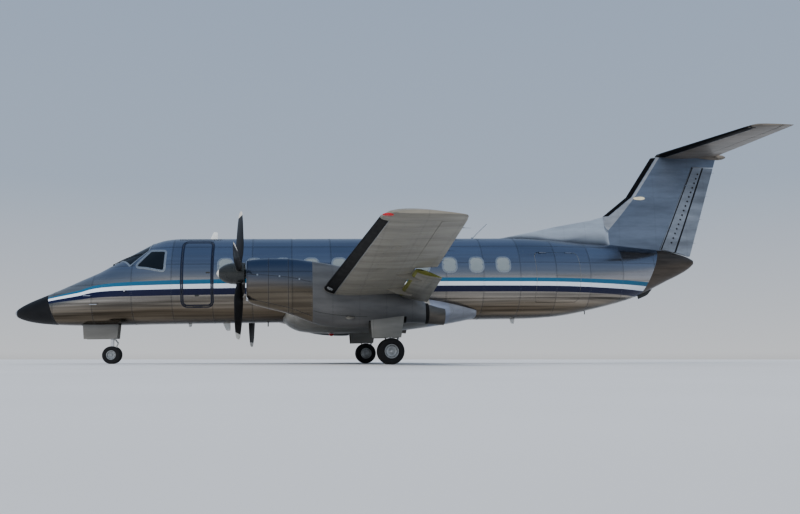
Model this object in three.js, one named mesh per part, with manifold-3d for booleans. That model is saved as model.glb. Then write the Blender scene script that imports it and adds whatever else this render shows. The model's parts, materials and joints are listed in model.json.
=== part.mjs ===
// A twin turboprop airliner with a T tail, standing on its wheels, as a three.js scene graph.
// Millimetres, +Z up, nose towards -X. Pieces are drawn in aircraft axes: x is the station aft of
// the nose tip, y is to starboard and z is above the fuselage centreline. One group places them.
import * as THREE from "three";
import { mergeVertices } from "three/addons/utils/BufferGeometryUtils.js";
import Module from "manifold-3d";

const wasm = await Module();
wasm.setup();

// Driving dimensions
const HALF_SPAN = 9890;
const NOSE_DOWN = 1.2; // degrees, standing on the ground
const GROUND = -2300; // under the main wheels, from the centreline
const NACELLE_Y = 3290;
const MAIN_X = 9420;
const NOSE_X = 2450;
const FORWARD_CABIN = 4250; // fuselage breaks
const CABIN = 6300;
const REAR = 13400;
const WALL = 90; // skin, frames and lining together
const GLASS = 30;
const SEAM = 0.3; // between fixed neighbours
const PLAY = 8; // round a moving piece
const FAR = 4000; // longer than anything that it cuts
const SIDES = [
  { side: "left", sign: -1 },
  { side: "right", sign: 1 },
];

// Finishes: colour, roughness and metalness
const FINISHES = {
  polished_metal: [0x9aa3ad, 0.18, 1],
  grey_paint: [0x8f8d86, 0.5, 0],
  fin_metal: [0x8797ad, 0.35, 0.8],
  black_radome: [0x141414, 0.45, 0],
  cockpit_glass: [0x15181c, 0.1, 0],
  tail_metal: [0x4a443c, 0.35, 0.8],
  exhaust_metal: [0x5a4a38, 0.45, 0.9],
  blade_black: [0x1c1b1a, 0.4, 0],
  spinner_grey: [0x3a3b36, 0.35, 0.3],
  gear_paint: [0xb9bbb8, 0.45, 0.1],
  rim_metal: [0xa8abac, 0.35, 0.8],
  tyre_rubber: [0x191919, 0.85, 0],
};

const v3 = (x, y, z) => new THREE.Vector3(x, y, z);
const { degToRad, lerp, clamp } = THREE.MathUtils;
const rows = (names, table) =>
  table.map((row) => Object.fromEntries(names.split(" ").map((name, i) => [name, row[i]])));

// A solid for joins and cuts, from any closed geometry.
function solid(geometry) {
  const bare = new THREE.BufferGeometry().setIndex(geometry.index);
  bare.setAttribute("position", geometry.getAttribute("position"));
  const merged = mergeVertices(bare, 1e-3);
  const p = merged.attributes.position.array;
  const triangles = [];
  let volume = 0;
  for (let i = 0; i < merged.index.count; i += 3) {
    const [a, b, c] = [0, 1, 2].map((k) => merged.index.getX(i + k));
    if (a === b || b === c || c === a) continue;
    triangles.push(a, b, c);
    const [pa, pb, pc] = [a, b, c].map((k) => v3(p[3 * k], p[3 * k + 1], p[3 * k + 2]));
    volume += pa.dot(pb.cross(pc));
  }
  if (volume < 0) triangles.reverse();
  return new wasm.Manifold(
    new wasm.Mesh({
      numProp: 3,
      vertProperties: new Float32Array(p),
      triVerts: new Uint32Array(triangles),
    }),
  );
}

const joined = (...solids) => solids.reduce((a, b) => a.add(b));
const cutBy = (first, ...tools) => tools.reduce((a, b) => a.subtract(b), first);

// The largest of the pieces that a cut leaves.
function largest(body) {
  return body.decompose().reduce((a, b) => (a.volume() >= b.volume() ? a : b));
}

// A flat ring seen along the axis that its plane faces most.
function flatten(ring) {
  const normal = v3(0, 0, 0);
  const from = (i) => ring[i % ring.length].clone().sub(ring[0]);
  ring.forEach((_, i) => normal.add(from(i).cross(from(i + 1))));
  const faced = normal.toArray().map(Math.abs);
  const [a, b] = [0, 1, 2].filter((k) => k !== faced.indexOf(Math.max(...faced)));
  return ring.map((p) => new THREE.Vector2(p.getComponent(a), p.getComponent(b)));
}

// Triangles over a flat ring that run along it, or against it.
function fillRing(ring, along) {
  const flat = flatten(ring);
  const turn = Math.sign(THREE.ShapeUtils.area(flat));
  return THREE.ShapeUtils.triangulateShape(flat, []).flatMap((face) => {
    const same = Math.sign(THREE.ShapeUtils.area(face.map((k) => flat[k]))) === turn;
    return same === along ? face : face.toReversed();
  });
}

// A closed body through rings of equally many points.
function loft(rings) {
  const n = rings[0].length;
  const index = [];
  for (let r = 0; r + 1 < rings.length; r++) {
    for (let i = 0; i < n; i++) {
      const j = (i + 1) % n;
      const [a, b, c, d] = [r * n + i, r * n + j, (r + 1) * n + j, (r + 1) * n + i];
      index.push(a, b, c, a, c, d);
    }
  }
  index.push(...fillRing(rings[0], false));
  index.push(...fillRing(rings.at(-1), true).map((k) => k + (rings.length - 1) * n));
  return solid(new THREE.BufferGeometry().setFromPoints(rings.flat()).setIndex(index));
}

// A straight body: a flat outline carried along x, y or z.
function prism(outline, axis, from, to) {
  const place = {
    x: (u, v, t) => v3(t, u, v),
    y: (u, v, t) => v3(u, t, v),
    z: (u, v, t) => v3(u, v, t),
  }[axis];
  return loft([from, to].map((t) => outline.map(([u, v]) => place(u, v, t))));
}

function box(x0, x1, y0, y1, z0, z1) {
  return prism([[x0, y0], [x1, y0], [x1, y1], [x0, y1]], "z", z0, z1);
}

// A round bar or cone between two points.
function rod(a, b, startRadius, endRadius = startRadius, sides = 12) {
  const run = b.clone().sub(a);
  const bar = new THREE.CylinderGeometry(endRadius, startRadius, run.length(), sides);
  bar.applyQuaternion(new THREE.Quaternion().setFromUnitVectors(v3(0, 1, 0), run.normalize()));
  return solid(bar.translate(...a.clone().lerp(b, 0.5).toArray()));
}

// A turned body about an axis along x or y, from radius and distance pairs.
function turned(profile, axis, centre, sides) {
  const lathe = new THREE.LatheGeometry(profile.map(([r, t]) => new THREE.Vector2(r, t)), sides);
  if (axis === "x") lathe.rotateZ(-Math.PI / 2);
  return solid(lathe.translate(...centre.toArray()));
}

function roundedOutline(u0, u1, v0, v1, radius, steps = 5) {
  const corners = [[u1, v1, 0], [u0, v1, 1], [u0, v0, 2], [u1, v0, 3]];
  return corners.flatMap(([u, v, quarter]) =>
    Array.from({ length: steps }, (_, i) => {
      const angle = (quarter + i / (steps - 1)) * (Math.PI / 2);
      const middle = [u === u1 ? u1 - radius : u0 + radius, v === v1 ? v1 - radius : v0 + radius];
      return [middle[0] + radius * Math.cos(angle), middle[1] + radius * Math.sin(angle)];
    }),
  );
}

// An oval ring across the x axis, squarer with a higher power.
function oval({ x, top, bottom, half }, grow = 0, y = 0, power = 2, sides = 32) {
  const height = (top - bottom) / 2 + grow;
  const bend = (value) => Math.sign(value) * Math.abs(value) ** (2 / power);
  return Array.from({ length: sides }, (_, i) => {
    const angle = (2 * Math.PI * i) / sides;
    const across = (half + grow) * bend(Math.cos(angle));
    return v3(x, y + across, (top + bottom) / 2 + height * bend(Math.sin(angle)));
  });
}

// Fuselage outline, nose to tail
const FUSELAGE = rows("x top bottom half", [
  [0, -775, -830, 28],
  [50, -712, -895, 95],
  [180, -620, -965, 178],
  [400, -505, -1030, 270],
  [650, -400, -1075, 350],
  [945, -275, -1105, 432],
  [1300, -120, -1130, 528],
  [1700, 62, -1148, 632],
  [2120, 250, -1155, 735],
  [2480, 450, -1152, 815],
  [2750, 600, -1150, 875],
  [3000, 735, -1148, 930],
  [3250, 872, -1145, 985],
  [3520, 1010, -1142, 1040],
  [3850, 1108, -1140, 1100],
  [4150, 1138, -1140, 1135],
  [4250, 1140, -1140, 1140],
  [13400, 1140, -1140, 1140],
  [13900, 1125, -1130, 1120],
  [14400, 1090, -1095, 1070],
  [14850, 1048, -1045, 1005],
  [15500, 1000, -925, 890],
  [16300, 945, -745, 738],
  [17000, 870, -530, 595],
  [17500, 818, -300, 478],
  [17900, 760, -110, 372],
  [18300, 670, 70, 252],
  [18600, 570, 240, 150],
  [18730, 500, 350, 85],
]);

const fuselage = (grow = 0) => loft(FUSELAGE.map((row) => oval(row, grow)));

// The outer layer of the fuselage between two stations, taken past the surface to cut with.
function skin(from, to, depth, past = 0) {
  const inRange = FUSELAGE.filter(({ x }) => x >= from && x <= to);
  const layer = (grow) => loft(inRange.map((row) => oval(row, grow)));
  return layer(past).subtract(layer(-depth));
}

// Slanted breaks across the fuselage
const NOSE_TIP = { station: -1000, z: 0, slope: 0 };
const RADOME_END = { station: 945, z: -640, slope: -0.33 };
const CONE_START = { station: 17350, z: 250, slope: 0.45 };
const TAIL_TIP = { station: 20500, z: 0, slope: 0 };
const upright = (station) => ({ station, z: 0, slope: 0 });

function slab(from, to) {
  const at = (cut, z, shift) => [cut.station + cut.slope * (z - cut.z) + shift, z];
  const outline = [
    at(from, -FAR, SEAM / 2),
    at(to, -FAR, -SEAM / 2),
    at(to, FAR, -SEAM / 2),
    at(from, FAR, SEAM / 2),
  ];
  return prism(outline, "y", -FAR, FAR);
}

const section = (from, to) => fuselage().intersect(slab(from, to));

// Doors, both on the port side. The hinge runs along the skin from the anchor, turned by plan
// degrees; reach is the distance from the hinge line to the far edge of the doorway.
const PASSENGER_DOOR = {
  anchor: v3(4340, -876, -730),
  hinged: "bottom",
  plan: 0,
  width: 770,
  bottom: -730,
  top: 990,
  reach: 1722,
  depth: 750,
};
const CARGO_DOOR = {
  anchor: v3(13680, -963, 630),
  hinged: "top",
  plan: 8,
  width: 1300,
  bottom: -745,
  top: 630,
  reach: 1364,
  depth: 824,
};

function doorPrism(door, inset, inner, outer, { radius = 130, hingeInset = inset } = {}) {
  const angle = degToRad(door.plan);
  const low = door.bottom + (door.hinged === "bottom" ? hingeInset : inset);
  const high = door.top - (door.hinged === "top" ? hingeInset : inset);
  const outline = roundedOutline(inset, door.width - inset, low, high, radius, 4);
  const place = (u, v, z) =>
    v3(
      door.anchor.x + u * Math.cos(angle) + v * Math.sin(angle),
      door.anchor.y + u * Math.sin(angle) - v * Math.cos(angle),
      z,
    );
  return loft([-inner, outer].map((v) => outline.map(([u, z]) => place(u, v, z))));
}

// Everything that swings inside a radius about the door's hinge.
function swing(door, radius) {
  const angle = degToRad(door.plan);
  const along = v3(Math.cos(angle), Math.sin(angle), 0);
  const [a, b] = [-200, door.width + 200].map((u) => door.anchor.clone().addScaledVector(along, u));
  return rod(a, b, radius, radius, 72);
}

// Hinge barrels: one on the door between two on the frame, near each end.
const BARREL = { radius: 22, length: 70, places: [0.2, 0.8] };

function doorHinges(door) {
  const angle = degToRad(door.plan);
  const along = v3(Math.cos(angle), Math.sin(angle), 0);
  const barrel = (place, from, to, radius) => {
    const [a, b] = [from, to].map((u) =>
      door.anchor.clone().addScaledVector(along, place * door.width + u * BARREL.length),
    );
    return rod(a, b, radius, radius, 12);
  };
  const all = (spans, radius) =>
    joined(...BARREL.places.flatMap((p) => spans.map(([from, to]) => barrel(p, from, to, radius))));
  const [gap, room] = [SEAM / BARREL.length, BARREL.radius + PLAY];
  const beside = [[-1.5, -0.5 - gap], [0.5 + gap, 1.5]];
  const besideRoom = [[-1.6, -0.5], [0.5, 1.6]];
  return {
    onDoor: all([[-0.5, 0.5]], BARREL.radius),
    onFrame: all(beside, BARREL.radius),
    doorRoom: all([[-0.5 - gap, 0.5 + gap]], room),
    frameRoom: all(besideRoom, room),
  };
}

// What a door and the room behind it take out of the fuselage. The room has no lip on the hinge
// side, where the door's inner edge swings.
function doorway(door) {
  const rebate = doorPrism(door, 0, 300, 600)
    .intersect(swing(door, door.reach))
    .intersect(skin(FORWARD_CABIN, 16300, WALL + PLAY, 50));
  return joined(rebate, doorPrism(door, 60, door.depth, 600, { radius: 40, hingeInset: 0 }));
}

function doorPanel(door) {
  const { onDoor, frameRoom } = doorHinges(door);
  const panel = doorPrism(door, PLAY, 300, 600)
    .intersect(swing(door, door.reach - 10))
    .intersect(skin(FORWARD_CABIN, 16300, WALL));
  return panel.subtract(frameRoom).add(onDoor);
}

function withDoorway(body, door) {
  const { onFrame, doorRoom } = doorHinges(door);
  return largest(cutBy(body, doorway(door), doorRoom).add(onFrame));
}

// Steps on the inside of the passenger door, level when it hangs open.
const STAIR_FOOT = [-790, -600];
const STAIR_HEAD = [-545, 835];
const TREAD = { angle: 50, depth: 210, thickness: 22 };

function airstair() {
  const { anchor, width } = PASSENGER_DOOR;
  const [start, end] = [anchor.x + 110, anchor.x + width - 110];
  const outline = [STAIR_FOOT, STAIR_HEAD];
  for (let angle = 50; angle >= -34; angle -= 7) {
    const turn = degToRad(angle);
    outline.push([-1062 * Math.cos(turn), 1062 * Math.sin(turn)]);
  }
  const along = [Math.cos(degToRad(TREAD.angle)), Math.sin(degToRad(TREAD.angle))];
  const treads = [0.12, 0.32, 0.52, 0.72, 0.92].map((part) => {
    const nose = [0, 1].map((k) => lerp(STAIR_FOOT[k], STAIR_HEAD[k], part));
    const back = [0, 1].map((k) => nose[k] - along[k] * TREAD.depth);
    const under = [along[1] * TREAD.thickness, -along[0] * TREAD.thickness];
    const shift = (p) => [p[0] - under[0], p[1] - under[1]];
    return prism([nose, back, shift(back), shift(nose)], "x", start, end);
  });
  const sides = [start, end - 22].map((x) => prism(outline, "x", x, x + 22));
  return joined(doorPanel(PASSENGER_DOOR), ...sides, ...treads);
}

// Cockpit glass, seen from above for the windscreen and from the side for the side window.
const WINDSCREEN = [[2500, 28], [3505, 28], [3440, 640], [3000, 745]];
const SIDE_WINDOW = [[3170, 320], [3530, 715], [3895, 700], [3885, 190], [3450, 285]];

function widened(outline, by) {
  const middle = [0, 1].map((k) => outline.reduce((sum, p) => sum + p[k], 0) / outline.length);
  return outline.map((p) => {
    const length = Math.hypot(p[0] - middle[0], p[1] - middle[1]);
    return p.map((value, k) => value + ((value - middle[k]) * by) / length);
  });
}

function windscreen(sign, grow) {
  const outline = widened(WINDSCREEN, grow).map(([x, y]) => [x, sign * y]);
  return prism(outline, "z", 200, 1500).intersect(skin(1700, 5000, GLASS + grow, 50 * grow));
}

function sideWindow(sign, grow) {
  const tool = prism(widened(SIDE_WINDOW, grow), "y", sign * 400, sign * 1500);
  return tool.intersect(skin(1700, 5000, GLASS + grow, 50 * grow));
}

// Wing sections
const CAMBER = 0.02;
const INCIDENCE = degToRad(2);
const WING_RINGS = rows("y trim thick", [
  [600, 0, 0.18],
  [2800, 0, 0.165],
  [6200, 0, 0.14],
  [9600, 0, 0.12],
  [9820, 60, 0.1],
  [HALF_SPAN, 190, 0.05],
]);

const wingLead = (y) => 7430 + 0.115 * y;
const wingTrail = (y) => 10240 - 0.0275 * y;
const wingHeight = (y) => -980 + 0.114 * y;

// Half the thickness of a section at a part of its chord, for a unit chord.
function halfThickness(part, thick) {
  const bulge =
    0.2969 * Math.sqrt(part) - 0.126 * part - 0.3516 * part ** 2 + 0.2843 * part ** 3;
  return 5 * thick * (bulge - 0.1015 * part ** 4) + 0.002 * part;
}

const camberAt = (part) => 4 * CAMBER * part * (1 - part);

// Chord parts and sides of a section, trailing edge to nose and back.
function sectionPoints(steps = 8) {
  const parts = Array.from({ length: steps + 1 }, (_, i) => (1 + Math.cos((Math.PI * i) / steps)) / 2);
  const upper = parts.map((part) => ({ part, face: Math.sign(Math.round(part * 1000)) }));
  return [...upper, ...parts.slice(0, -1).toReversed().map((part) => ({ part, face: -1 }))];
}

// A point of the wing at a chord part, above or below the mean line by offset.
function wingPoint(y, part, offset, trim = 0) {
  const lead = wingLead(y) + trim;
  const chord = wingTrail(y) - trim * 0.3 - lead;
  const u = (part - 0.3) * chord;
  const w = camberAt(part) * chord + offset;
  const turn = [Math.cos(INCIDENCE), Math.sin(INCIDENCE)];
  return {
    x: lead + 0.3 * chord + u * turn[0] + w * turn[1],
    z: wingHeight(y) - u * turn[1] + w * turn[0],
    chord,
  };
}

function wholeWing(sign, grow = 0) {
  return loft(
    WING_RINGS.map(({ y, trim, thick }) => {
      const chord = wingTrail(y) - wingLead(y) - 1.3 * trim;
      return sectionPoints().map(({ part, face }) => {
        const offset = face * (halfThickness(part, thick) * chord + grow);
        const { x, z } = wingPoint(y, part, offset, trim);
        return v3(x + (part < 0.01 ? -grow : 0) + (part > 0.99 ? grow : 0), sign * y, z);
      });
    }),
  );
}

const thicknessAt = (y) => {
  const next = WING_RINGS.findIndex((row) => row.y >= y);
  const [a, b] = [WING_RINGS[next - 1], WING_RINGS[next]];
  return lerp(a.thick, b.thick, (y - a.y) / (b.y - a.y));
};

// Hinge plates that reach from the fixed surface into slots in the moving one's nose.
const KNUCKLE = { thickness: 24, places: [0.25, 0.78] };

function knuckles({ a, b, startRadius, endRadius }) {
  const run = b.clone().sub(a).normalize();
  const ahead = v3(-1, 0, 0).addScaledVector(run, run.x).normalize();
  const parts = KNUCKLE.places.map((place) => {
    const centre = a.clone().lerp(b, place);
    const radius = lerp(startRadius, endRadius, place);
    const disc = (half, r) => {
      const [from, to] = [-half, half].map((t) => centre.clone().addScaledVector(run, t));
      return rod(from, to, r, r, 10);
    };
    const half = KNUCKLE.thickness / 2;
    const reach = centre.clone().addScaledVector(ahead, 1.2 * radius + 60);
    const arm = rod(centre, reach, half - 1, half - 1, 6);
    return { plate: joined(disc(half, radius - 2), arm), slot: disc(half + SEAM, radius + PLAY) };
  });
  const all = (kind) => joined(...parts.map((part) => part[kind]));
  return { plates: all("plate"), slots: all("slot") };
}

// A moving surface and the fixed one that it leaves. The hinge line runs from a to b with the
// surface's half thickness there; zone(ahead, gap) is the region aft of it. The hollow that it
// turns in runs past the outer end, and is wider there by extra.
function hinged(whole, { a, b, startRadius, endRadius }, zone, { past = 12, extra = 0 } = {}) {
  const run = b.clone().sub(a).normalize();
  const { plates, slots } = knuckles({ a, b, startRadius, endRadius });
  const [a2, b2] = [a.clone().addScaledVector(run, -12), b.clone().addScaledVector(run, past)];
  const nose = rod(a, b, startRadius, endRadius, 14).intersect(zone(2 * startRadius, 0));
  const room = (radius) => 1.12 * radius + PLAY;
  const cove = rod(a2, b2, room(startRadius), room(endRadius) + extra, 14);
  return {
    moving: joined(whole.intersect(zone(0, 0)), nose).subtract(slots),
    fixed: joined(cutBy(whole, zone(PLAY, 12), cove), plates),
  };
}

// Aileron
const AILERON = { inner: 6230, outer: 9560, part: 0.735 };

function aileronHinge(sign) {
  const at = (y) => {
    const { x, z, chord } = wingPoint(y, AILERON.part, 0);
    const radius = halfThickness(AILERON.part, thicknessAt(y)) * chord - 1;
    return { point: v3(x, sign * y, z), radius };
  };
  const [inner, outer] = [at(AILERON.inner), at(AILERON.outer)];
  return { a: inner.point, b: outer.point, startRadius: inner.radius, endRadius: outer.radius };
}

function aileronZone(sign) {
  const { a, b } = aileronHinge(sign);
  return (ahead, gap) =>
    prism(
      [
        [a.x - ahead, a.y - sign * gap],
        [b.x - ahead, b.y + sign * gap],
        [11500, b.y + sign * gap],
        [11500, a.y - sign * gap],
      ],
      "z",
      -FAR,
      FAR,
    );
}

// Flaps, held at the take-off setting
const FLAPS = rows("name inner outer", [
  ["inboard", 1560, 2830],
  ["outboard", 3760, 6190],
]);
const FLAP = { part: 0.76, drop: 0.052, chord: 0.3, thick: 0.16, angle: 17 };

// The slot that a flap leaves in the wing, deeper below than above.
function flapBay(sign, { inner, outer }) {
  return loft(
    [inner - 15, outer + 15].map((y) => {
      const low = wingPoint(y, 0.71, -400);
      const high = wingPoint(y, 0.83, 400);
      return [
        v3(low.x, sign * y, low.z),
        v3(11500, sign * y, low.z),
        v3(11500, sign * y, high.z),
        v3(high.x, sign * y, high.z),
      ];
    }),
  );
}

function flap(sign, { inner, outer }, grow = 0) {
  const turn = [Math.cos(degToRad(FLAP.angle)), Math.sin(degToRad(FLAP.angle))];
  return loft(
    [inner, outer].map((y) => {
      const { x, z, chord } = wingPoint(y, FLAP.part, 0);
      const start = [x, z - FLAP.drop * chord];
      return sectionPoints(7).map(({ part, face }) => {
        const u = part * FLAP.chord * chord - (face === 0 ? grow : 0);
        const w = face * (halfThickness(part, FLAP.thick) * FLAP.chord * chord + grow);
        return v3(start[0] + u * turn[0] + w * turn[1], sign * y, start[1] - u * turn[1] + w * turn[0]);
      });
    }),
  );
}

// Plates under the wing that carry the flap.
function flapBrackets(sign, row) {
  const plates = [0.2, 0.8].map((place) => {
    const y = lerp(row.inner, row.outer, place);
    const { chord } = wingPoint(y, 0.5, 0);
    const at = (part, offset) => wingPoint(y, part, offset * chord);
    const above = [at(0.6, 0), at(0.8, 0), at(0.9, -0.06)];
    const corners = [...above, at(0.86, -0.115), at(0.7, -0.1), at(0.6, -0.06)];
    return prism(corners.map(({ x, z }) => [x, z]), "y", sign * y - 9, sign * y + 9);
  });
  return joined(...plates).subtract(flap(sign, row, SEAM));
}

// Fairing round the wing root, under the fuselage
const FAIRING = rows("x top bottom half", [
  [6900, -850, -1120, 480],
  [7080, -640, -1270, 900],
  [7350, -470, -1385, 1220],
  [7800, -390, -1440, 1400],
  [8400, -370, -1455, 1450],
  [9500, -380, -1450, 1450],
  [10200, -440, -1400, 1370],
  [10900, -540, -1320, 1200],
  [11600, -680, -1215, 950],
  [12100, -800, -1120, 700],
]);

const fairingBody = (grow = 0) => loft(FAIRING.map((row) => oval(row, grow, 0, 2.5)));

// Nacelle: polished cowl ahead of the break, painted gear bay behind it
const COWL_END = 7600;
const NACELLE = rows("x top bottom half", [
  [6100, 165, -780, 330],
  [6220, 188, -850, 365],
  [6600, 212, -960, 395],
  [7060, 208, -1085, 412],
  [7600, 138, -1300, 425],
  [7850, 100, -1370, 428],
  [8300, 10, -1425, 430],
  [8700, -85, -1440, 430],
  [9150, -205, -1405, 425],
  [9600, -345, -1345, 405],
  [9950, -520, -1330, 350],
  [10250, -860, -1350, 245],
]);
const HUB = { x: 5920, z: -130 };

const BAY = { x0: 8900, x1: 9780, half: 300, roof: -930 };

function nacelleBody(y, grow = 0) {
  return loft(NACELLE.map((row) => oval(row, grow, y, 2.4, 24)));
}

// The engine as a plain block on the bulkhead, in a room with this much air round it.
const ENGINE = { x0: 6150, half: 235, bottom: -585, top: -30, air: 8 };

function engine(y, air = -SEAM) {
  const { x0, half, bottom, top } = ENGINE;
  const grow = Math.max(air, 0);
  return box(x0 - grow, COWL_END + air, y - half - grow, y + half + grow, bottom - grow, top + grow);
}

function cowl(y) {
  const mouth = roundedOutline(y - 190, y + 190, -745, -545, 70, 4);
  const front = nacelleBody(y).intersect(slab(NOSE_TIP, upright(COWL_END)));
  return cutBy(front, prism(mouth, "x", 6000, 6520), engine(y, ENGINE.air));
}

function gearBay(y, sign) {
  const rear = nacelleBody(y).intersect(slab(upright(COWL_END), TAIL_TIP));
  const bay = box(BAY.x0, BAY.x1, y - BAY.half, y + BAY.half, -FAR, BAY.roof);
  return cutBy(rear, wholeWing(sign, SEAM), bay);
}

// Exhaust duct, open at its slanted end
const EXHAUST = rows("x z radius", [
  [10250.3, -1105, 225],
  [10330, -1130, 232],
  [10600, -1185, 205],
  [10900, -1235, 190],
]);

function exhaust(y) {
  const ring = ({ x, z, radius }, less) =>
    oval({ x, top: z + radius - less, bottom: z - radius + less, half: radius - less }, 0, y, 2, 24);
  const outer = loft(EXHAUST.map((row) => ring(row, 0)));
  const inner = loft(EXHAUST.slice(1).map((row, i) => ring({ ...row, x: row.x + 10 * i }, 14)));
  const end = [[10840, 0], [11500, 0], [11500, -2000], [10640, -2000]];
  return cutBy(outer, inner, prism(end, "y", y - 600, y + 600));
}

// Propeller blade sections: radius, chord, thickness and pitch in degrees
const BLADE = rows("r chord thick pitch", [
  [150, 110, 105, 60],
  [300, 130, 85, 56],
  [480, 225, 50, 50],
  [800, 285, 30, 41],
  [1200, 280, 20, 32],
  [1480, 225, 14, 27],
  [1600, 110, 8, 25],
]);

// How far the top blade leans to port, in degrees
const FIRST_BLADE = { left: -17, right: -3 };

function blade(centre, turn) {
  const spin = new THREE.Quaternion().setFromAxisAngle(v3(1, 0, 0), degToRad(turn));
  return loft(
    BLADE.map(({ r, chord, thick, pitch }) => {
      const angle = degToRad(pitch);
      return Array.from({ length: 8 }, (_, i) => {
        const a = (2 * Math.PI * i) / 8;
        const [along, across] = [(chord / 2) * Math.cos(a), (thick / 2) * Math.sin(a)];
        const x = -along * Math.sin(angle) - across * Math.cos(angle);
        const y = along * Math.cos(angle) - across * Math.sin(angle);
        return v3(x, y, r).applyQuaternion(spin).add(centre);
      });
    }),
  );
}

function propeller(y, first) {
  const centre = v3(HUB.x, y, HUB.z);
  const hub = rod(v3(5790, y, HUB.z), v3(6060, y, HUB.z), 246, 252, 24);
  const shaft = rod(v3(6050, y, HUB.z), v3(6100 - SEAM, y, HUB.z), 95, 95, 24);
  return joined(hub, shaft, ...[0, 90, 180, 270].map((turn) => blade(centre, first + turn)));
}

function spinner(y) {
  const profile = [[0, 0], [45, 10], [120, 75], [190, 190], [230, 310], [245, 389.7], [0, 389.7]];
  return turned(profile, "x", v3(5400, y, HUB.z), 24);
}

// Fin sections: leading edge against height, over a straight trailing edge
const FIN_RINGS = rows("z lead thick", [
  [600, 15900, 0.125],
  [1200, 15975, 0.125],
  [1760, 16060, 0.125],
  [2350, 16820, 0.12],
  [2950, 17235, 0.12],
  [3540, 17645, 0.115],
]);
const finTrail = (z) => 18660 + ((z - 560) * 910) / 2680;

function finAt(z) {
  const next = clamp(FIN_RINGS.findIndex((row) => row.z >= z), 1, FIN_RINGS.length - 1);
  const [a, b] = [FIN_RINGS[next - 1], FIN_RINGS[next]];
  const part = (z - a.z) / (b.z - a.z);
  const lead = lerp(a.lead, b.lead, part);
  return { lead, chord: finTrail(z) - lead, thick: lerp(a.thick, b.thick, part) };
}

function wholeFin(grow = 0) {
  return loft(
    FIN_RINGS.map(({ z }) => {
      const { lead, chord, thick } = finAt(z);
      return sectionPoints(8).map(({ part, face }) => {
        const x = lead + part * chord + (part < 0.01 ? -grow : 0);
        return v3(x, face * (halfThickness(part, thick) * chord + grow), z);
      });
    }),
  );
}

// Rudder in two parts, one hinged on the other
const RUDDER_TOP = 3240;
const RUDDER_FOOT = 40; // above the fuselage, which it sweeps over
const RUDDERS = {
  forward: { foot: [17760, 780], head: [18900, RUDDER_TOP] },
  aft: { foot: [18190, 660], head: [19235, RUDDER_TOP] },
};

function rudderHinge({ foot, head }) {
  const radius = ([x, z]) => {
    const { lead, chord, thick } = finAt(z);
    return halfThickness((x - lead) / chord, thick) * chord - 1;
  };
  return {
    a: v3(foot[0], 0, foot[1]),
    b: v3(head[0], 0, head[1]),
    startRadius: radius(foot),
    endRadius: radius(head),
  };
}

// The region aft of a rudder hinge, up to the rudder's top.
function rudderZone({ foot, head }) {
  const slope = (head[0] - foot[0]) / (head[1] - foot[1]);
  return (ahead, gap) => {
    const at = (z) => foot[0] + slope * (z - foot[1]) - ahead;
    const top = RUDDER_TOP + 2 * gap;
    return prism([[at(300), 300], [20500, 300], [20500, top], [at(top), top]], "y", -FAR, FAR);
  };
}

// Dorsal fin ahead of the fin: height of its edge and width at its foot
const DORSAL = rows("x top half", [
  [12980, 1150, 25],
  [14000, 1345, 60],
  [14630, 1480, 85],
  [15710, 1670, 125],
  [16060, 1765, 140],
  [16400, 1900, 150],
]);

function dorsal() {
  const rings = DORSAL.map(({ x, top, half }) => {
    const foot = 700;
    const edge = Math.min(28, half / 2);
    return [
      v3(x, -half, foot),
      v3(x, half, foot),
      v3(x, half * 0.8, lerp(foot, top, 0.6)),
      v3(x, edge, top - 22),
      v3(x, 0, top),
      v3(x, -edge, top - 22),
      v3(x, -half * 0.8, lerp(foot, top, 0.6)),
    ];
  });
  return largest(cutBy(loft(rings), fuselage(SEAM), wholeFin(4 * SEAM)));
}

// Tailplane with the tube along its middle
const TAIL_Z = 3600;
const TAIL_TUBE = { x0: 18250, x1: 20000, z: 3580, radius: 88 };
const TAIL_RINGS = rows("y lead trail thick", [
  [0, 17800, 19660, 0.11],
  [3250, 18860, 19975, 0.1],
  [3400, 18930, 19985, 0.08],
  [3470, 19080, 19980, 0.04],
]);

function tailAt(y) {
  const next = clamp(TAIL_RINGS.findIndex((row) => row.y >= y), 1, TAIL_RINGS.length - 1);
  const [a, b] = [TAIL_RINGS[next - 1], TAIL_RINGS[next]];
  const part = (y - a.y) / (b.y - a.y);
  const lead = lerp(a.lead, b.lead, part);
  return { lead, chord: lerp(a.trail, b.trail, part) - lead, thick: lerp(a.thick, b.thick, part) };
}

function tailRing(y, grow) {
  const { lead, chord, thick } = tailAt(Math.abs(y));
  return sectionPoints(8).map(({ part, face }) => {
    const x = lead + part * chord + (part < 0.01 ? -grow : 0);
    return v3(x, y, TAIL_Z + face * (halfThickness(part, thick) * chord + grow));
  });
}

function wholeTailplane(grow = 0) {
  const half = TAIL_RINGS.slice(1).map(({ y }) => y);
  const stations = [...half.toReversed().map((y) => -y), 0, ...half];
  return loft(stations.map((y) => tailRing(y, grow)));
}

function tailTube(grow = 0) {
  const { x0, x1, z, radius } = TAIL_TUBE;
  const length = x1 - x0;
  const r = radius + grow;
  const profile = [[0, 0], [r * 0.5, 60], [r * 0.85, 190], [r, 380], [r, length - 260]];
  const tail = [[r * 0.75, length - 110], [r * 0.3, length - 20], [0, length]];
  return turned([...profile, ...tail], "x", v3(x0, 0, z), 20);
}

// Elevators
const ELEVATOR = { inner: 170, outer: 3420, part: 0.7 };

function elevatorHinge(sign) {
  const at = (y) => {
    const { lead, chord, thick } = tailAt(y);
    return { x: lead + ELEVATOR.part * chord, radius: halfThickness(ELEVATOR.part, thick) * chord - 1 };
  };
  const [inner, outer] = [at(ELEVATOR.inner), at(ELEVATOR.outer)];
  return {
    a: v3(inner.x, sign * ELEVATOR.inner, TAIL_Z),
    b: v3(outer.x, sign * ELEVATOR.outer, TAIL_Z),
    startRadius: inner.radius,
    endRadius: outer.radius,
  };
}

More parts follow.
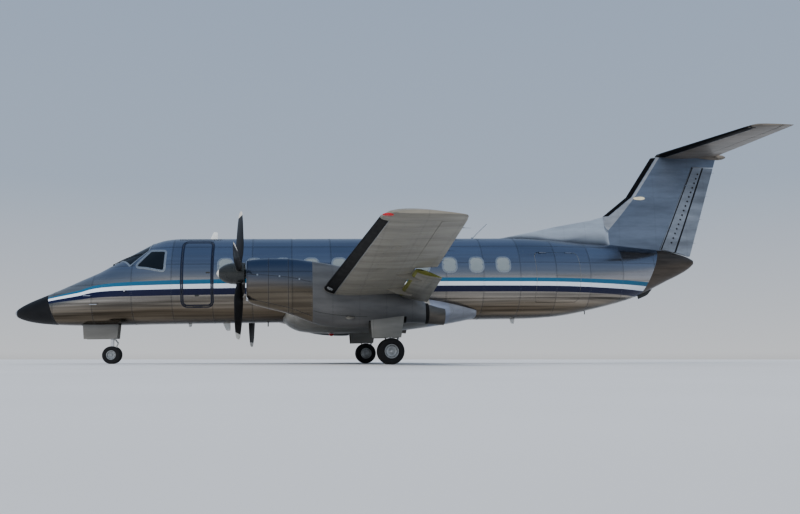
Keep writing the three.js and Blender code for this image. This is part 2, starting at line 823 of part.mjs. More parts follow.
function elevatorZone(sign) {
  const { a, b } = elevatorHinge(sign);
  const run = b.clone().sub(a).normalize();
  return (ahead, gap) => {
    const inner = a.clone().addScaledVector(run, -gap);
    const outer = b.clone().addScaledVector(run, 400);
    const aft = [inner.x + sign * run.y * 1500, inner.y - sign * run.x * 1500];
    return prism(
      [[inner.x - ahead, inner.y], [outer.x - ahead, outer.y], [21500, outer.y], aft],
      "z",
      0,
      6000,
    );
  };
}

// Flat pads for jacks, under the nose and under each wing
const JACK_PAD = { radius: 45, nose: v3(3000, 0, -1165), wing: v3(8600, 4600, -600) };

function jackPad(foot, height) {
  return rod(foot, foot.clone().setZ(foot.z + height), JACK_PAD.radius);
}

// Wheels: sizes and where they stand
const WHEEL_SIDES = 24;
const NOSE_WHEEL = { radius: 229, width: 140, rim: 122, offset: 125, axle: 25, lug: 48 };
const MAIN_WHEEL = { radius: 305, width: 184, rim: 165, offset: 185, axle: 32, lug: 62 };
const groundAt = (x) => GROUND - (x - MAIN_X) * Math.tan(degToRad(NOSE_DOWN));
const NOSE_AXLE = v3(NOSE_X, 0, groundAt(NOSE_X) + NOSE_WHEEL.radius);

// The lowest point of a tyre as it stands, so the group's tilt is allowed for.
const mainAxle = (y) => v3(MAIN_X, y, groundAt(MAIN_X) + MAIN_WHEEL.radius);

function tyre(centre, { radius, width, rim }) {
  const w = width / 2;
  const side = [[rim, 0.7 * w], [lerp(rim, radius, 0.4), w]];
  const half = [...side, [radius - 0.22 * w, 0.84 * w], [radius, 0.3 * w]];
  const mirror = half.toReversed().map(([r, t]) => [r, -t]);
  return turned([...half, ...mirror, half[0]], "y", centre, WHEEL_SIDES);
}

// Both rims of a pair and the axle between them.
function rims(axle, { rim, offset, width, axle: axleRadius }) {
  const w = 0.4 * width;
  const r = rim - SEAM;
  const dish = [[0, -w], [r, -w], [r, w], [r - 22, w], [0.4 * r, w * 0.2], [0, w * 0.2]];
  const wheel = (sign) => {
    const profile = sign > 0 ? dish : dish.map(([radius, t]) => [radius, -t]);
    return turned(profile, "y", axle.clone().setY(axle.y + sign * offset), WHEEL_SIDES);
  };
  const [a, b] = [-offset, offset].map((t) => v3(axle.x, axle.y + t, axle.z));
  return joined(wheel(1), wheel(-1), rod(a, b, axleRadius, axleRadius, 24));
}

// The lug round an axle, bored to let it turn.
function axleLug(axle, { lug, axle: axleRadius }) {
  const along = (d) => v3(axle.x, axle.y + d, axle.z);
  return {
    body: rod(along(-lug), along(lug), lug * 0.95),
    bore: rod(along(-2 * lug), along(2 * lug), axleRadius + 0.4, axleRadius + 0.4, 24),
  };
}

function mainLeg(y) {
  const axle = mainAxle(y);
  const at = (dx, z, dy = 0) => v3(MAIN_X + dx, y + dy, z);
  const lug = axleLug(axle, MAIN_WHEEL);
  const link = (upper, lower) => rod(upper, lower, 26, 20, 10);
  const parts = [
    rod(at(0, BAY.roof - SEAM), at(0, -1500), 82),
    rod(at(0, -1500), at(0, -1560), 94),
    rod(at(0, -1500), axle, 55),
    rod(at(-40, -1430), at(-430, -1010), 34, 28),
    rod(at(0, -1010, SEAM - BAY.half), at(0, -1010, BAY.half - SEAM), 48),
    link(at(60, -1530), at(200, -1680)),
    link(at(200, -1680), at(30, -1930)),
    lug.body,
  ];
  return cutBy(joined(...parts), lug.bore);
}

const NOSE_BAY = { x0: 1700, x1: 2680, half: 180, roof: -760 };
const PISTON_TOP = -1320;

function noseLeg() {
  const at = (dx, z, dy = 0) => v3(NOSE_X + dx, dy, z);
  const parts = [
    rod(at(0, NOSE_BAY.roof - SEAM), at(0, -1440), 68),
    rod(at(0, -1380), at(0, -1440), 82),
    rod(at(-30, -1330), at(-560, NOSE_BAY.roof - 80), 30, 26),
    rod(at(0, -900, SEAM - NOSE_BAY.half), at(0, -900, NOSE_BAY.half - SEAM), 40),
  ];
  return cutBy(joined(...parts), rod(at(0, -1300), at(0, -1500), 50));
}

function noseFork() {
  const at = (dx, z) => v3(NOSE_X + dx, 0, z);
  const lug = axleLug(NOSE_AXLE, NOSE_WHEEL);
  const parts = [
    rod(at(0, PISTON_TOP), NOSE_AXLE, 48),
    rod(at(0, -1440 - SEAM), at(0, -1510), 74),
    rod(at(40, -1480), at(150, -1620), 22, 18, 10),
    rod(at(150, -1620), at(20, -1860), 18, 18, 10),
    lug.body,
  ];
  return cutBy(joined(...parts), lug.bore);
}

// Gear doors that hang open beside the legs
function noseDoor(sign) {
  const outline = [[1760, -1500], [2600, -1500], [2640, -1000], [1720, -1000]];
  const plate = prism(outline, "y", sign * 184, sign * 198);
  return largest(plate.subtract(fuselage(SEAM)));
}

function mainDoor(y, side) {
  const outline = [[8960, -1680], [9640, -1680], [9740, -1100], [8920, -1100]];
  const plate = prism(outline, "y", y + side * (BAY.half + 8), y + side * (BAY.half + 22));
  return largest(plate.subtract(nacelleBody(y, SEAM)));
}

// All the pieces
const aircraft = new THREE.Group();
aircraft.name = "aircraft";
const materials = Object.fromEntries(
  Object.entries(FINISHES).map(([name, [color, roughness, metalness]]) => [
    name,
    new THREE.MeshStandardMaterial({ name, color, roughness, metalness }),
  ]),
);

function add(name, finish, body) {
  const { vertProperties, triVerts } = body.getMesh();
  const geometry = new THREE.BufferGeometry();
  geometry.setAttribute("position", new THREE.BufferAttribute(vertProperties, 3));
  geometry.setIndex(new THREE.BufferAttribute(triVerts, 1));
  geometry.computeVertexNormals();
  const mesh = new THREE.Mesh(geometry, materials[finish]);
  mesh.name = name;
  aircraft.add(mesh);
}

function addFuselage() {
  const { x0, x1, half, roof } = NOSE_BAY;
  const noseBay = box(x0, x1, -half, half, -2000, roof);
  const glass = SIDES.flatMap(({ sign }) => [windscreen(sign, SEAM), sideWindow(sign, SEAM)]);
  add("radome", "black_radome", section(NOSE_TIP, RADOME_END));
  const nose = section(RADOME_END, upright(FORWARD_CABIN));
  const pad = jackPad(JACK_PAD.nose, 80);
  add("nose_section", "polished_metal", joined(cutBy(nose, noseBay, ...glass), pad));
  const forward = section(upright(FORWARD_CABIN), upright(CABIN));
  add("forward_cabin", "polished_metal", withDoorway(forward, PASSENGER_DOOR));
  add("cabin_section", "polished_metal", section(upright(CABIN), upright(REAR)));
  const rear = section(upright(REAR), CONE_START);
  add("rear_fuselage", "polished_metal", withDoorway(rear, CARGO_DOOR));
  add("tail_cone", "tail_metal", section(CONE_START, TAIL_TIP));
  add("passenger_door", "polished_metal", airstair());
  add("cargo_door", "polished_metal", doorPanel(CARGO_DOOR));
  add("belly_fairing", "grey_paint", largest(fairingBody().subtract(fuselage(SEAM))));
  for (const { side, sign } of SIDES) {
    add(`windscreen_${side}`, "cockpit_glass", windscreen(sign, 0));
    add(`side_window_${side}`, "cockpit_glass", sideWindow(sign, 0));
  }
}

function addWing({ side, sign }) {
  const { moving, fixed } = hinged(wholeWing(sign), aileronHinge(sign), aileronZone(sign));
  const bays = FLAPS.map((row) => flapBay(sign, row));
  const wing = largest(cutBy(fixed, ...bays, fuselage(SEAM), fairingBody(SEAM)));
  const pad = jackPad(JACK_PAD.wing.clone().setY(sign * JACK_PAD.wing.y), 120);
  const brackets = FLAPS.map((row) => flapBrackets(sign, row));
  add(`wing_${side}`, "polished_metal", largest(joined(wing, pad, ...brackets)));
  add(`aileron_${side}`, "polished_metal", moving);
  for (const row of FLAPS) add(`flap_${row.name}_${side}`, "grey_paint", flap(sign, row));
}

function addPowerplant({ side, sign }) {
  const y = sign * NACELLE_Y;
  add(`cowl_${side}`, "polished_metal", cowl(y));
  add(`engine_${side}`, "exhaust_metal", engine(y));
  add(`gear_bay_${side}`, "grey_paint", gearBay(y, sign));
  add(`exhaust_${side}`, "exhaust_metal", exhaust(y));
  add(`propeller_${side}`, "blade_black", propeller(y, FIRST_BLADE[side]));
  add(`spinner_${side}`, "spinner_grey", spinner(y));
}

function addTail() {
  const forward = hinged(wholeFin(), rudderHinge(RUDDERS.forward), rudderZone(RUDDERS.forward));
  const aft = hinged(forward.moving, rudderHinge(RUDDERS.aft), rudderZone(RUDDERS.aft));
  const tailplane = joined(wholeTailplane(), tailTube());
  const [left, right] = SIDES.map(({ sign }) =>
    hinged(tailplane, elevatorHinge(sign), elevatorZone(sign), { past: 70, extra: 16 }),
  );
  const above = [wholeTailplane(SEAM), tailTube(SEAM)];
  add("fin", "fin_metal", largest(cutBy(forward.fixed, fuselage(SEAM), ...above)));
  add("dorsal_fin", "grey_paint", dorsal());
  add("rudder_forward", "fin_metal", largest(aft.fixed.subtract(fuselage(RUDDER_FOOT))));
  add("rudder_aft", "fin_metal", largest(aft.moving.subtract(fuselage(RUDDER_FOOT))));
  add("tailplane", "polished_metal", largest(left.fixed.intersect(right.fixed)));
  add("elevator_left", "polished_metal", largest(left.moving));
  add("elevator_right", "polished_metal", largest(right.moving));
}

function addWheels(place, axle, wheel) {
  add(`${place}_rims`, "rim_metal", rims(axle, wheel));
  for (const { side, sign } of SIDES) {
    const centre = axle.clone().setY(axle.y + sign * wheel.offset);
    add(`${place}_tyre_${side}`, "tyre_rubber", tyre(centre, wheel));
  }
}

function addGear() {
  add("nose_leg", "gear_paint", noseLeg());
  add("nose_fork", "gear_paint", noseFork());
  addWheels("nose", NOSE_AXLE, NOSE_WHEEL);
  for (const { side, sign } of SIDES) {
    const y = sign * NACELLE_Y;
    add(`nose_door_${side}`, "grey_paint", noseDoor(sign));
    add(`main_leg_${side}`, "gear_paint", mainLeg(y));
    addWheels(`main_${side}`, mainAxle(y), MAIN_WHEEL);
    for (const edge of SIDES) {
      add(`main_${side}_door_${edge.side}`, "grey_paint", mainDoor(y, edge.sign));
    }
  }
}

addFuselage();
SIDES.forEach(addWing);
SIDES.forEach(addPowerplant);
addTail();
addGear();

// Stand it on the ground, nose down, over the origin.
aircraft.rotation.y = -degToRad(NOSE_DOWN);
aircraft.updateMatrixWorld(true);
const extent = new THREE.Box3().setFromObject(aircraft, true);
const centre = extent.getCenter(v3(0, 0, 0));
aircraft.position.set(-centre.x, -centre.y, -extent.min.z);

const airliner = new THREE.Group();
airliner.name = "airliner";
airliner.add(aircraft);

export default airliner;
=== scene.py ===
import json
import math

import bmesh
import bpy
import numpy as np
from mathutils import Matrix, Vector

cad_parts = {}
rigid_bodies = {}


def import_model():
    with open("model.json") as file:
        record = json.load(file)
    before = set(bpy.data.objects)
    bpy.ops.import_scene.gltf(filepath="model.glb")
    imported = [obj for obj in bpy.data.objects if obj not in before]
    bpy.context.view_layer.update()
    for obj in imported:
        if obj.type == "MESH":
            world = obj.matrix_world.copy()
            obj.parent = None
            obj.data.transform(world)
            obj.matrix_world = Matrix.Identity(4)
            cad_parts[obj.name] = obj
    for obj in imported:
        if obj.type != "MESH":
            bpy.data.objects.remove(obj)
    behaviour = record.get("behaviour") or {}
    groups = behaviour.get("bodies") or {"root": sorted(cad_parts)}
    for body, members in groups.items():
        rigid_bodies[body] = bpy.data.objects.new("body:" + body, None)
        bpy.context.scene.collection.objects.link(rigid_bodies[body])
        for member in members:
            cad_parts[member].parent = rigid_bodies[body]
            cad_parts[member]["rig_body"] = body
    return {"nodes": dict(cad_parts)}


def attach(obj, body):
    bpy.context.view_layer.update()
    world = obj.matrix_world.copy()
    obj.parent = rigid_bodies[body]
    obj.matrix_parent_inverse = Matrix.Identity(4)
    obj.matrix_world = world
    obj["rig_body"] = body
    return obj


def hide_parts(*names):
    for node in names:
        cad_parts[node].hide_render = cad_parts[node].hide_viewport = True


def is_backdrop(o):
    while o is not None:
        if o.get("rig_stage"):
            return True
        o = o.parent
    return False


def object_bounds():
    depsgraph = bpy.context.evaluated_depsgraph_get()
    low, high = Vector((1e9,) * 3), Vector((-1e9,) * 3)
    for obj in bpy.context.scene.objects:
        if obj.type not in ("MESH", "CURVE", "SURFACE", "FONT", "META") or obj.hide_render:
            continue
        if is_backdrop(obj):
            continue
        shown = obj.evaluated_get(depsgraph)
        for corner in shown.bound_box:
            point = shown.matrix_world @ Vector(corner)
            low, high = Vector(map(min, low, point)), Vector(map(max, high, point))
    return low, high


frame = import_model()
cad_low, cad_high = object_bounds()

SCENE = bpy.context.scene
NODES = frame["nodes"]

# ---------------------------------------------------------------- aircraft axes
# Shapes are worked out in aircraft axes, in metres: the station aft of the nose tip, starboard,
# and up from the fuselage centreline. The aircraft stands nose down by TILT.
TILT = math.radians(1.2)
ORIGIN = np.array([-9.968435, 0.0, 2.102218])
NACELLE_Y = 3.29
HUB_X, HUB_Z = 5.92, -0.13
SIDES = (("left", -1), ("right", 1))  # port and starboard
AFT = (1, 0, 0)


def turned(p):
    """Directions in aircraft axes as directions in the shared frame."""
    p = np.asarray(p, float)
    c, s = math.cos(TILT), math.sin(TILT)
    x, y, z = p[..., 0], p[..., 1], p[..., 2]
    return np.stack([x * c - z * s, y, x * s + z * c], -1)


def to_row(p):
    return turned(p) + ORIGIN


def to_craft(p):
    p = np.asarray(p, float) - ORIGIN
    c, s = math.cos(TILT), math.sin(TILT)
    x, y, z = p[..., 0], p[..., 1], p[..., 2]
    return np.stack([x * c + z * s, y, z * c - x * s], -1)


def curve_through(x, xs, ys):
    """A smooth curve that doesn't overshoot its points."""
    xs, ys = np.asarray(xs, float), np.asarray(ys, float)
    h, d = np.diff(xs), np.diff(ys) / np.diff(xs)
    same = d[:-1] * d[1:] > 0
    with np.errstate(divide="ignore", invalid="ignore"):
        mean = np.where(same, 2 * d[:-1] * d[1:] / (d[:-1] + d[1:]), 0)
    m = np.concatenate([[d[0]], mean, [d[-1]]])
    x = np.clip(x, xs[0], xs[-1])
    i = np.clip(np.searchsorted(xs, x, "right") - 1, 0, len(h) - 1)
    t = (x - xs[i]) / h[i]
    return (
        ys[i] * (1 + 2 * t) * (1 - t) ** 2
        + h[i] * m[i] * t * (1 - t) ** 2
        + ys[i + 1] * t * t * (3 - 2 * t)
        + h[i] * m[i + 1] * t * t * (t - 1)
    )


# Outlines by station: x, top, bottom, half width
FUSELAGE = np.array([
    (0, -0.775, -0.83, 0.028), (0.05, -0.712, -0.895, 0.095), (0.18, -0.62, -0.965, 0.178),
    (0.4, -0.505, -1.03, 0.27), (0.65, -0.4, -1.075, 0.35), (0.945, -0.275, -1.105, 0.432),
    (1.3, -0.12, -1.13, 0.528), (1.7, 0.062, -1.148, 0.632), (2.12, 0.25, -1.155, 0.735),
    (2.48, 0.45, -1.152, 0.815), (2.75, 0.6, -1.15, 0.875), (3, 0.735, -1.148, 0.93),
    (3.25, 0.872, -1.145, 0.985), (3.52, 1.01, -1.142, 1.04), (3.85, 1.108, -1.14, 1.1),
    (4.15, 1.138, -1.14, 1.135), (4.25, 1.14, -1.14, 1.14), (13.4, 1.14, -1.14, 1.14),
    (13.9, 1.125, -1.13, 1.12), (14.4, 1.09, -1.095, 1.07), (14.85, 1.048, -1.045, 1.005),
    (15.5, 1, -0.925, 0.89), (16.3, 0.945, -0.745, 0.738), (17, 0.87, -0.53, 0.595),
    (17.5, 0.818, -0.3, 0.478), (17.9, 0.76, -0.11, 0.372), (18.3, 0.67, 0.07, 0.252),
    (18.6, 0.57, 0.24, 0.15), (18.73, 0.5, 0.35, 0.085),
])
FAIRING = np.array([
    (6.9, -0.85, -1.12, 0.48), (7.08, -0.64, -1.27, 0.9), (7.35, -0.47, -1.385, 1.22),
    (7.8, -0.39, -1.44, 1.4), (8.4, -0.37, -1.455, 1.45), (9.5, -0.38, -1.45, 1.45),
    (10.2, -0.44, -1.4, 1.37), (10.9, -0.54, -1.32, 1.2), (11.6, -0.68, -1.215, 0.95),
    (12.1, -0.8, -1.12, 0.7),
])
NACELLE = np.array([
    (6.1, 0.165, -0.78, 0.33), (6.22, 0.188, -0.85, 0.365), (6.6, 0.212, -0.96, 0.395),
    (7.06, 0.208, -1.085, 0.412), (7.6, 0.138, -1.3, 0.425), (7.85, 0.1, -1.37, 0.428),
    (8.3, 0.01, -1.425, 0.43), (8.7, -0.085, -1.44, 0.43), (9.15, -0.205, -1.405, 0.425),
    (9.6, -0.345, -1.345, 0.405), (9.95, -0.52, -1.33, 0.35), (10.25, -0.86, -1.35, 0.245),
])


def section(rows, x):
    """The middle height, half height and half width at stations of an outline."""
    top, bottom, half = (curve_through(x, rows[:, 0], rows[:, k]) for k in (1, 2, 3))
    return (top + bottom) / 2, (top - bottom) / 2, half


def tube_surface(rows, power=2.0, y0=0.0):
    """How far outside an oval tube a point lies, roughly in metres."""
    def outside(p):
        middle, high, half = section(rows, p[:, 0])
        r = np.abs((p[:, 1] - y0) / half) ** power + np.abs((p[:, 2] - middle) / high) ** power
        r = r ** (1 / power)
        return (r - 1) * np.minimum(half, high)
    return outside


def half_thickness(part, thick):
    part = np.clip(part, 0, 1)
    bulge = 0.2969 * np.sqrt(part) - 0.126 * part - 0.3516 * part**2 + 0.2843 * part**3
    return 5 * thick * (bulge - 0.1015 * part**4) + 0.002 * part


def section_gap(part, offset, chord, thick):
    inside = half_thickness(np.abs(part), thick) * chord
    return offset**2 - np.sign(part) * inside**2


# Distance along the span or height, then edges or their trim, then thickness as a part of the chord
WING = np.array([(0.6, 0, 0.18), (2.8, 0, 0.165), (6.2, 0, 0.14), (9.6, 0, 0.12), (9.82, 0.06, 0.1),
                 (9.89, 0.19, 0.05)])
FIN = np.array([(0.6, 15.9, 0.125), (1.2, 15.975, 0.125), (1.76, 16.06, 0.125), (2.35, 16.82, 0.12),
                (2.95, 17.235, 0.12), (3.54, 17.645, 0.115)])
TAIL = np.array([(0, 17.8, 19.66, 0.11), (3.25, 18.86, 19.975, 0.1), (3.4, 18.93, 19.985, 0.08),
                 (3.47, 19.08, 19.98, 0.04)])
# The wing's straight lines: the value at the middle of the aircraft and the slope along the span
WING_LEAD, WING_TRAIL, WING_HEIGHT = (7.43, 0.115), (10.24, -0.0275), (-0.98, 0.114)
WING_TURN, WING_PIVOT, CAMBER = math.radians(2), 0.3, 0.08
TAIL_Z = 3.6
FIN_TRIM_THICKNESS = 0.12


def straight(table, place, *columns):
    """Columns of a table at a place along its first column, straight between its rows."""
    return [np.interp(place, table[:, 0], table[:, k]) for k in columns]


def wing_frame(y):
    """The leading edge, chord, height and thickness of the wing."""
    y = np.abs(y)
    trim, thick = straight(WING, y, 1, 2)
    lead = WING_LEAD[0] + WING_LEAD[1] * y + trim
    chord = WING_TRAIL[0] + WING_TRAIL[1] * y - 0.3 * trim - lead
    return lead, chord, WING_HEIGHT[0] + WING_HEIGHT[1] * y, thick


def wing_surface(p):
    lead, chord, height, thick = wing_frame(p[:, 1])
    dx, dz = p[:, 0] - lead - WING_PIVOT * chord, p[:, 2] - height
    c, s = math.cos(WING_TURN), math.sin(WING_TURN)
    part = (dx * c - dz * s) / chord + WING_PIVOT
    camber = CAMBER * part * (1 - part) * chord
    return section_gap(part, dx * s + dz * c - camber, chord, thick)


def wing_point(y, part, side, out=0.0, sign=1):
    """A point on the wing: side is 1 above and -1 below, sign is 1 starboard and -1 port."""
    lead, chord, height, thick = wing_frame(y)
    u = (part - WING_PIVOT) * chord
    w = CAMBER * part * (1 - part) * chord + side * (half_thickness(part, thick) * chord + out)
    c, s = math.cos(WING_TURN), math.sin(WING_TURN)
    return np.array([lead + WING_PIVOT * chord + u * c + w * s, sign * y, height - u * s + w * c])


def fin_trail(z):
    return 18.66 + (z - 0.56) * 0.91 / 2.68


def fin_frame(z):
    """The leading edge, chord and thickness of the fin with its rudders."""
    lead, thick = straight(FIN, z, 1, 2)
    return lead, fin_trail(z) - lead, thick


def tail_frame(y):
    lead, trail, thick = straight(TAIL, y, 1, 2, 3)
    return lead, trail - lead, thick


def fin_surface(p):
    lead, chord, thick = fin_frame(p[:, 2])
    return section_gap((p[:, 0] - lead) / chord, p[:, 1], chord, thick)


def tail_surface(p):
    lead, chord, thick = tail_frame(np.abs(p[:, 1]))
    return section_gap((p[:, 0] - lead) / chord, p[:, 2] - TAIL_Z, chord, thick)


fuselage_surface = tube_surface(FUSELAGE)


def tail_point(y, part, side, out=0.0):
    lead, chord, thick = tail_frame(y)
    return lead + part * chord, y, TAIL_Z + side * (half_thickness(part, thick) * chord + out)


def fin_point(z, part, side, out=0.0):
    lead, chord, thick = fin_frame(z)
    return lead + part * chord, side * (half_thickness(part, thick) * chord + out), z


def fin_side(x, z, sign, out=0.0):
    """Where trim lies on a side of the fin and rudders."""
    lead, chord, _ = fin_frame(z)
    return np.stack([x, sign * (half_thickness((x - lead) / chord, FIN_TRIM_THICKNESS) * chord + out), z], -1)


def gradient(surface, p, step=0.002):
    return np.stack([(surface(p + d) - surface(p - d)) / (2 * step) for d in np.eye(3) * step], -1)


def outward(surface, p):
    g = gradient(surface, p)
    return g / (np.linalg.norm(g, axis=1)[:, None] + 1e-9)


# ---------------------------------------------------------------- finer copies of CAD nodes
SKIN_REACH = 0.02  # how far from a surface the flat CAD faces of its skin may lie
SKIN_STEP = 0.012  # the longest step of a point towards the surface
SKIN_DEPTH = 0.028  # faces deeper than this are the inside of a room
FLAT, EDGE = 0.8, 38  # how far a face may turn from the surface, and the sharp edges' angle in degrees


def by_cargo_hinge(p):
    """Where the cargo door passes close to the skin, which stays as flat there as in the CAD."""
    return (p[:, 0] > 13.5) & (p[:, 0] < 15.15) & (p[:, 1] < 0) & (p[:, 2] > 0.4) & (p[:, 2] < 0.85)


def refine(name, finish, surface=None, cuts=2, inner=None):
    """A finer copy of a CAD node: faces on the given surface are divided, laid on it and shaded by it."""
    mesh = NODES[name].data.copy()
    bm = bmesh.new()
    bm.from_mesh(mesh)
    bmesh.ops.remove_doubles(bm, verts=bm.verts, dist=2e-6)
    for v, p in zip(bm.verts, to_craft([v.co for v in bm.verts])):
        v.co = p
    bm.normal_update()

    def on_surface():
        faces = [f for f in bm.faces if f.calc_area() > 1e-9]
        mid = np.array([f.calc_center_median() for f in faces])
        g = gradient(surface, mid)
        size = np.linalg.norm(g, axis=1) + 1e-9
        facing = np.einsum("ij,ij->i", g, np.array([f.normal for f in faces])) / size
        near = (np.abs(surface(mid) / size) < SKIN_REACH) & (facing > FLAT)
        return [f for f, ok in zip(faces, near) if ok]

    if surface:
        edges = {e for f in on_surface() for e in f.edges if e.calc_length() > 0.05}
        bmesh.ops.subdivide_edges(bm, edges=list(edges), cuts=cuts, use_grid_fill=True)
        bmesh.ops.triangulate(bm, faces=[f for f in bm.faces if len(f.verts) > 4])
        bm.normal_update()
        verts = list({v for f in on_surface() for v in f.verts})
        p = np.array([v.co for v in verts])
        for _ in range(3):
            g = gradient(surface, p)
            step = (surface(p) / (np.einsum("ij,ij->i", g, g) + 1e-12))[:, None] * g
            step[by_cargo_hinge(p)] = 0
            p = p - step * np.minimum(1, SKIN_STEP / (np.linalg.norm(step, axis=1) + 1e-9))[:, None]
        for v, q in zip(verts, p):
            v.co = q
        bm.normal_update()
        bm.faces.index_update()
        on_skin = {f.index for f in on_surface()}
    bm.to_mesh(mesh)
    bm.free()
    mesh.shade_smooth()
    co = np.zeros(len(mesh.vertices) * 3)
    mesh.vertices.foreach_get("co", co)
    co = co.reshape(-1, 3)
    mesh.vertices.foreach_set("co", np.clip(to_row(co), cad_low, cad_high).ravel())
    if surface:
        g = outward(surface, co)
        normals = [g[mesh.loops[i].vertex_index] if f.index in on_skin else f.normal
                   for f in mesh.polygons for i in f.loop_indices]
        mesh.normals_split_custom_set(turned(normals).tolist())
    else:
        mesh.set_sharp_from_angle(angle=math.radians(EDGE))
    mesh.materials.clear()
    mesh.materials.append(M[finish])
    if inner:
        mesh.materials.append(M[inner])
        mid = to_craft([f.center for f in mesh.polygons])
        for f, deep in zip(mesh.polygons, surface(mid) < -SKIN_DEPTH):
            f.material_index = int(deep and f.index not in on_skin)
    obj = bpy.data.objects.new(name + "_skin", mesh)
    SCENE.collection.objects.link(obj)
    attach(obj, NODES[name]["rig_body"])
    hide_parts(name)


def recolour(names, finish):
    """Another finish for CAD nodes that stay as they are."""
    for name in names:
        NODES[name].data.materials.clear()
        NODES[name].data.materials.append(M[finish])


# ---------------------------------------------------------------- meshes of points in rings
def add(name, parts, finish, body="airframe", nodes=(), angle=35):
    """One new piece from several (verts, faces) in aircraft axes."""
    verts, faces = [], []
    for v, f in parts:
        faces += [[i + len(verts) for i in face] for face in f]
        verts += [tuple(p) for p in v]
    mesh = bpy.data.meshes.new(name)
    mesh.from_pydata([tuple(v) for v in to_row(verts)], [], faces)
    bm = bmesh.new()
    bm.from_mesh(mesh)
    bmesh.ops.remove_doubles(bm, verts=bm.verts, dist=1e-6)
    bmesh.ops.recalc_face_normals(bm, faces=bm.faces)
    bm.to_mesh(mesh)
    bm.free()
    mesh.materials.append(M[finish])
    mesh.shade_smooth()
    mesh.set_sharp_from_angle(angle=math.radians(angle))
    obj = bpy.data.objects.new(name, mesh)
    SCENE.collection.objects.link(obj)
    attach(obj, body)
    if nodes:
        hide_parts(*nodes)


def unit(v):
    return v / np.linalg.norm(v)


def around(count):
    return np.arange(count) * 2 * math.pi / count


def rings_mesh(rings, ends="capped"):
    """Faces between rings of points, with the ends capped, open or joined to each other."""
    n, count = len(rings[0]), len(rings)
    verts = [tuple(p) for ring in rings for p in ring]
    faces = [
        [r * n + i, r * n + (i + 1) % n, (r + 1) % count * n + (i + 1) % n, (r + 1) % count * n + i]
        for r in range(count - (ends != "joined")) for i in range(n)
    ]
    if ends == "capped":
        faces += [list(range(n))[::-1], [len(verts) - n + i for i in range(n)]]
    return verts, faces


def filled(loops, middle):
    """Rings of points, the last of them filled round a point in its middle."""
    verts, faces = rings_mesh(loops, "open")
    n, last = len(loops[0]), len(verts) - len(loops[0])
    return verts + [tuple(middle)], faces + [[last + i, last + (i + 1) % n, len(verts)] for i in range(n)]


def lathe(profile, centre, axis, sides=64, ends="capped"):
    """A body turned about an axis along x or y, from (radius, distance) pairs."""
    rings = []
    for r, t in profile:
        u, v, w = np.full(sides, t), r * np.cos(around(sides)), r * np.sin(around(sides))
        rings.append(np.stack((u, v, w) if axis == "x" else (v, u, w), -1) + np.asarray(centre))
    return rings_mesh(rings, ends)


def hoop(centre, along, aside, radius, sides):
    """A circle of points round a direction."""
    u = unit(np.cross(along, aside))
    t = around(sides)[:, None]
    return centre + (np.cos(t) * u + np.sin(t) * np.cross(along, u)) * radius


def bar(a, b, r0, r1=None, sides=20):
    a, b = np.asarray(a, float), np.asarray(b, float)
    d = unit(b - a)
    aside = (0, 0, 1) if abs(d[2]) < 0.9 else (1, 0, 0)
    return rings_mesh([hoop(a, d, aside, r0, sides), hoop(b, d, aside, r0 if r1 is None else r1, sides)])


def pipe(points, radius, sides=10):
    pts = [np.asarray(p, float) for p in points]
    ways = [unit(pts[min(i + 1, len(pts) - 1)] - pts[max(i - 1, 0)]) for i in range(len(pts))]
    return rings_mesh([hoop(p, d, (0.02, 1, 0.03), radius, sides) for p, d in zip(pts, ways)])


def rounded(x0, x1, z0, z1, r, steps=8):
    """A rectangle with round corners."""
    out = []
    for cx, cz, q in ((x1 - r, z1 - r, 0), (x0 + r, z1 - r, 1), (x0 + r, z0 + r, 2), (x1 - r, z0 + r, 3)):
        for i in range(steps):
            a = (q + i / (steps - 1)) * math.pi / 2
            out.append((cx + r * math.cos(a), cz + r * math.sin(a)))
    return np.array(out)


def grown(outline, by):
    """An outline moved outwards by a distance."""
    o = np.asarray(outline, float)
    d = np.roll(o, -1, 0) - np.roll(o, 1, 0)
    n = np.stack([d[:, 1], -d[:, 0]], -1)
    return o + by * n / (np.linalg.norm(n, axis=1)[:, None] + 1e-9)


def on_side(xz, side, out=0.0):
    """Points on the fuselage side at given stations and heights."""
    x, z = np.asarray(xz, float).T
    middle, high, half = section(FUSELAGE, x)
    f = np.clip((z - middle) / high, -0.999, 0.999)
    p = np.stack([x, side * half * np.sqrt(1 - f**2), z], -1)
    return p + out * outward(fuselage_surface, p)


def on_top(xy, side, out=0.0):
    """Points on the top of the nose at given stations and distances from the middle."""
    x, y = np.asarray(xy, float).T
    middle, high, half = section(FUSELAGE, x)
    p = np.stack([x, side * y, middle + high * np.sqrt(np.clip(1 - (y / half) ** 2, 0.01, 1))], -1)
    return p + out * outward(fuselage_surface, p)


SUNK = -0.004  # how far an edge of trim is sunk into the skin


def side_patch(outline, side, out, rings=5):
    """A filled patch on the fuselage side, proud of it by out."""
    mid = outline.mean(0)
    loops = [on_side(outline, side, SUNK)]
    loops += [on_side(mid + (outline - mid) * (1 - k / rings), side, out) for k in range(rings)]
    return filled(loops, on_side([mid], side, out)[0])


# ---------------------------------------------------------------- shader nodes
def link(tree, value, socket):
    if isinstance(value, bpy.types.NodeSocket):
        tree.links.new(value, socket)
    elif value is not None:
        socket.default_value = value


def node(tree, kind, inputs=None, out=0, **settings):
    n = tree.nodes.new("ShaderNode" + kind)
    for key, value in settings.items():
        setattr(n, key, value)
    for key, value in (inputs or {}).items():
        link(tree, value, n.inputs[key])
    return n.outputs[out]


def maths(operation):
    """A short way to add one kind of maths node to a tree."""
    def add_node(tree, a, b=None, c=None, clamp=False):
        return node(tree, "Math", {0: a, 1: b, 2: c}, operation=operation, use_clamp=clamp)
    return add_node


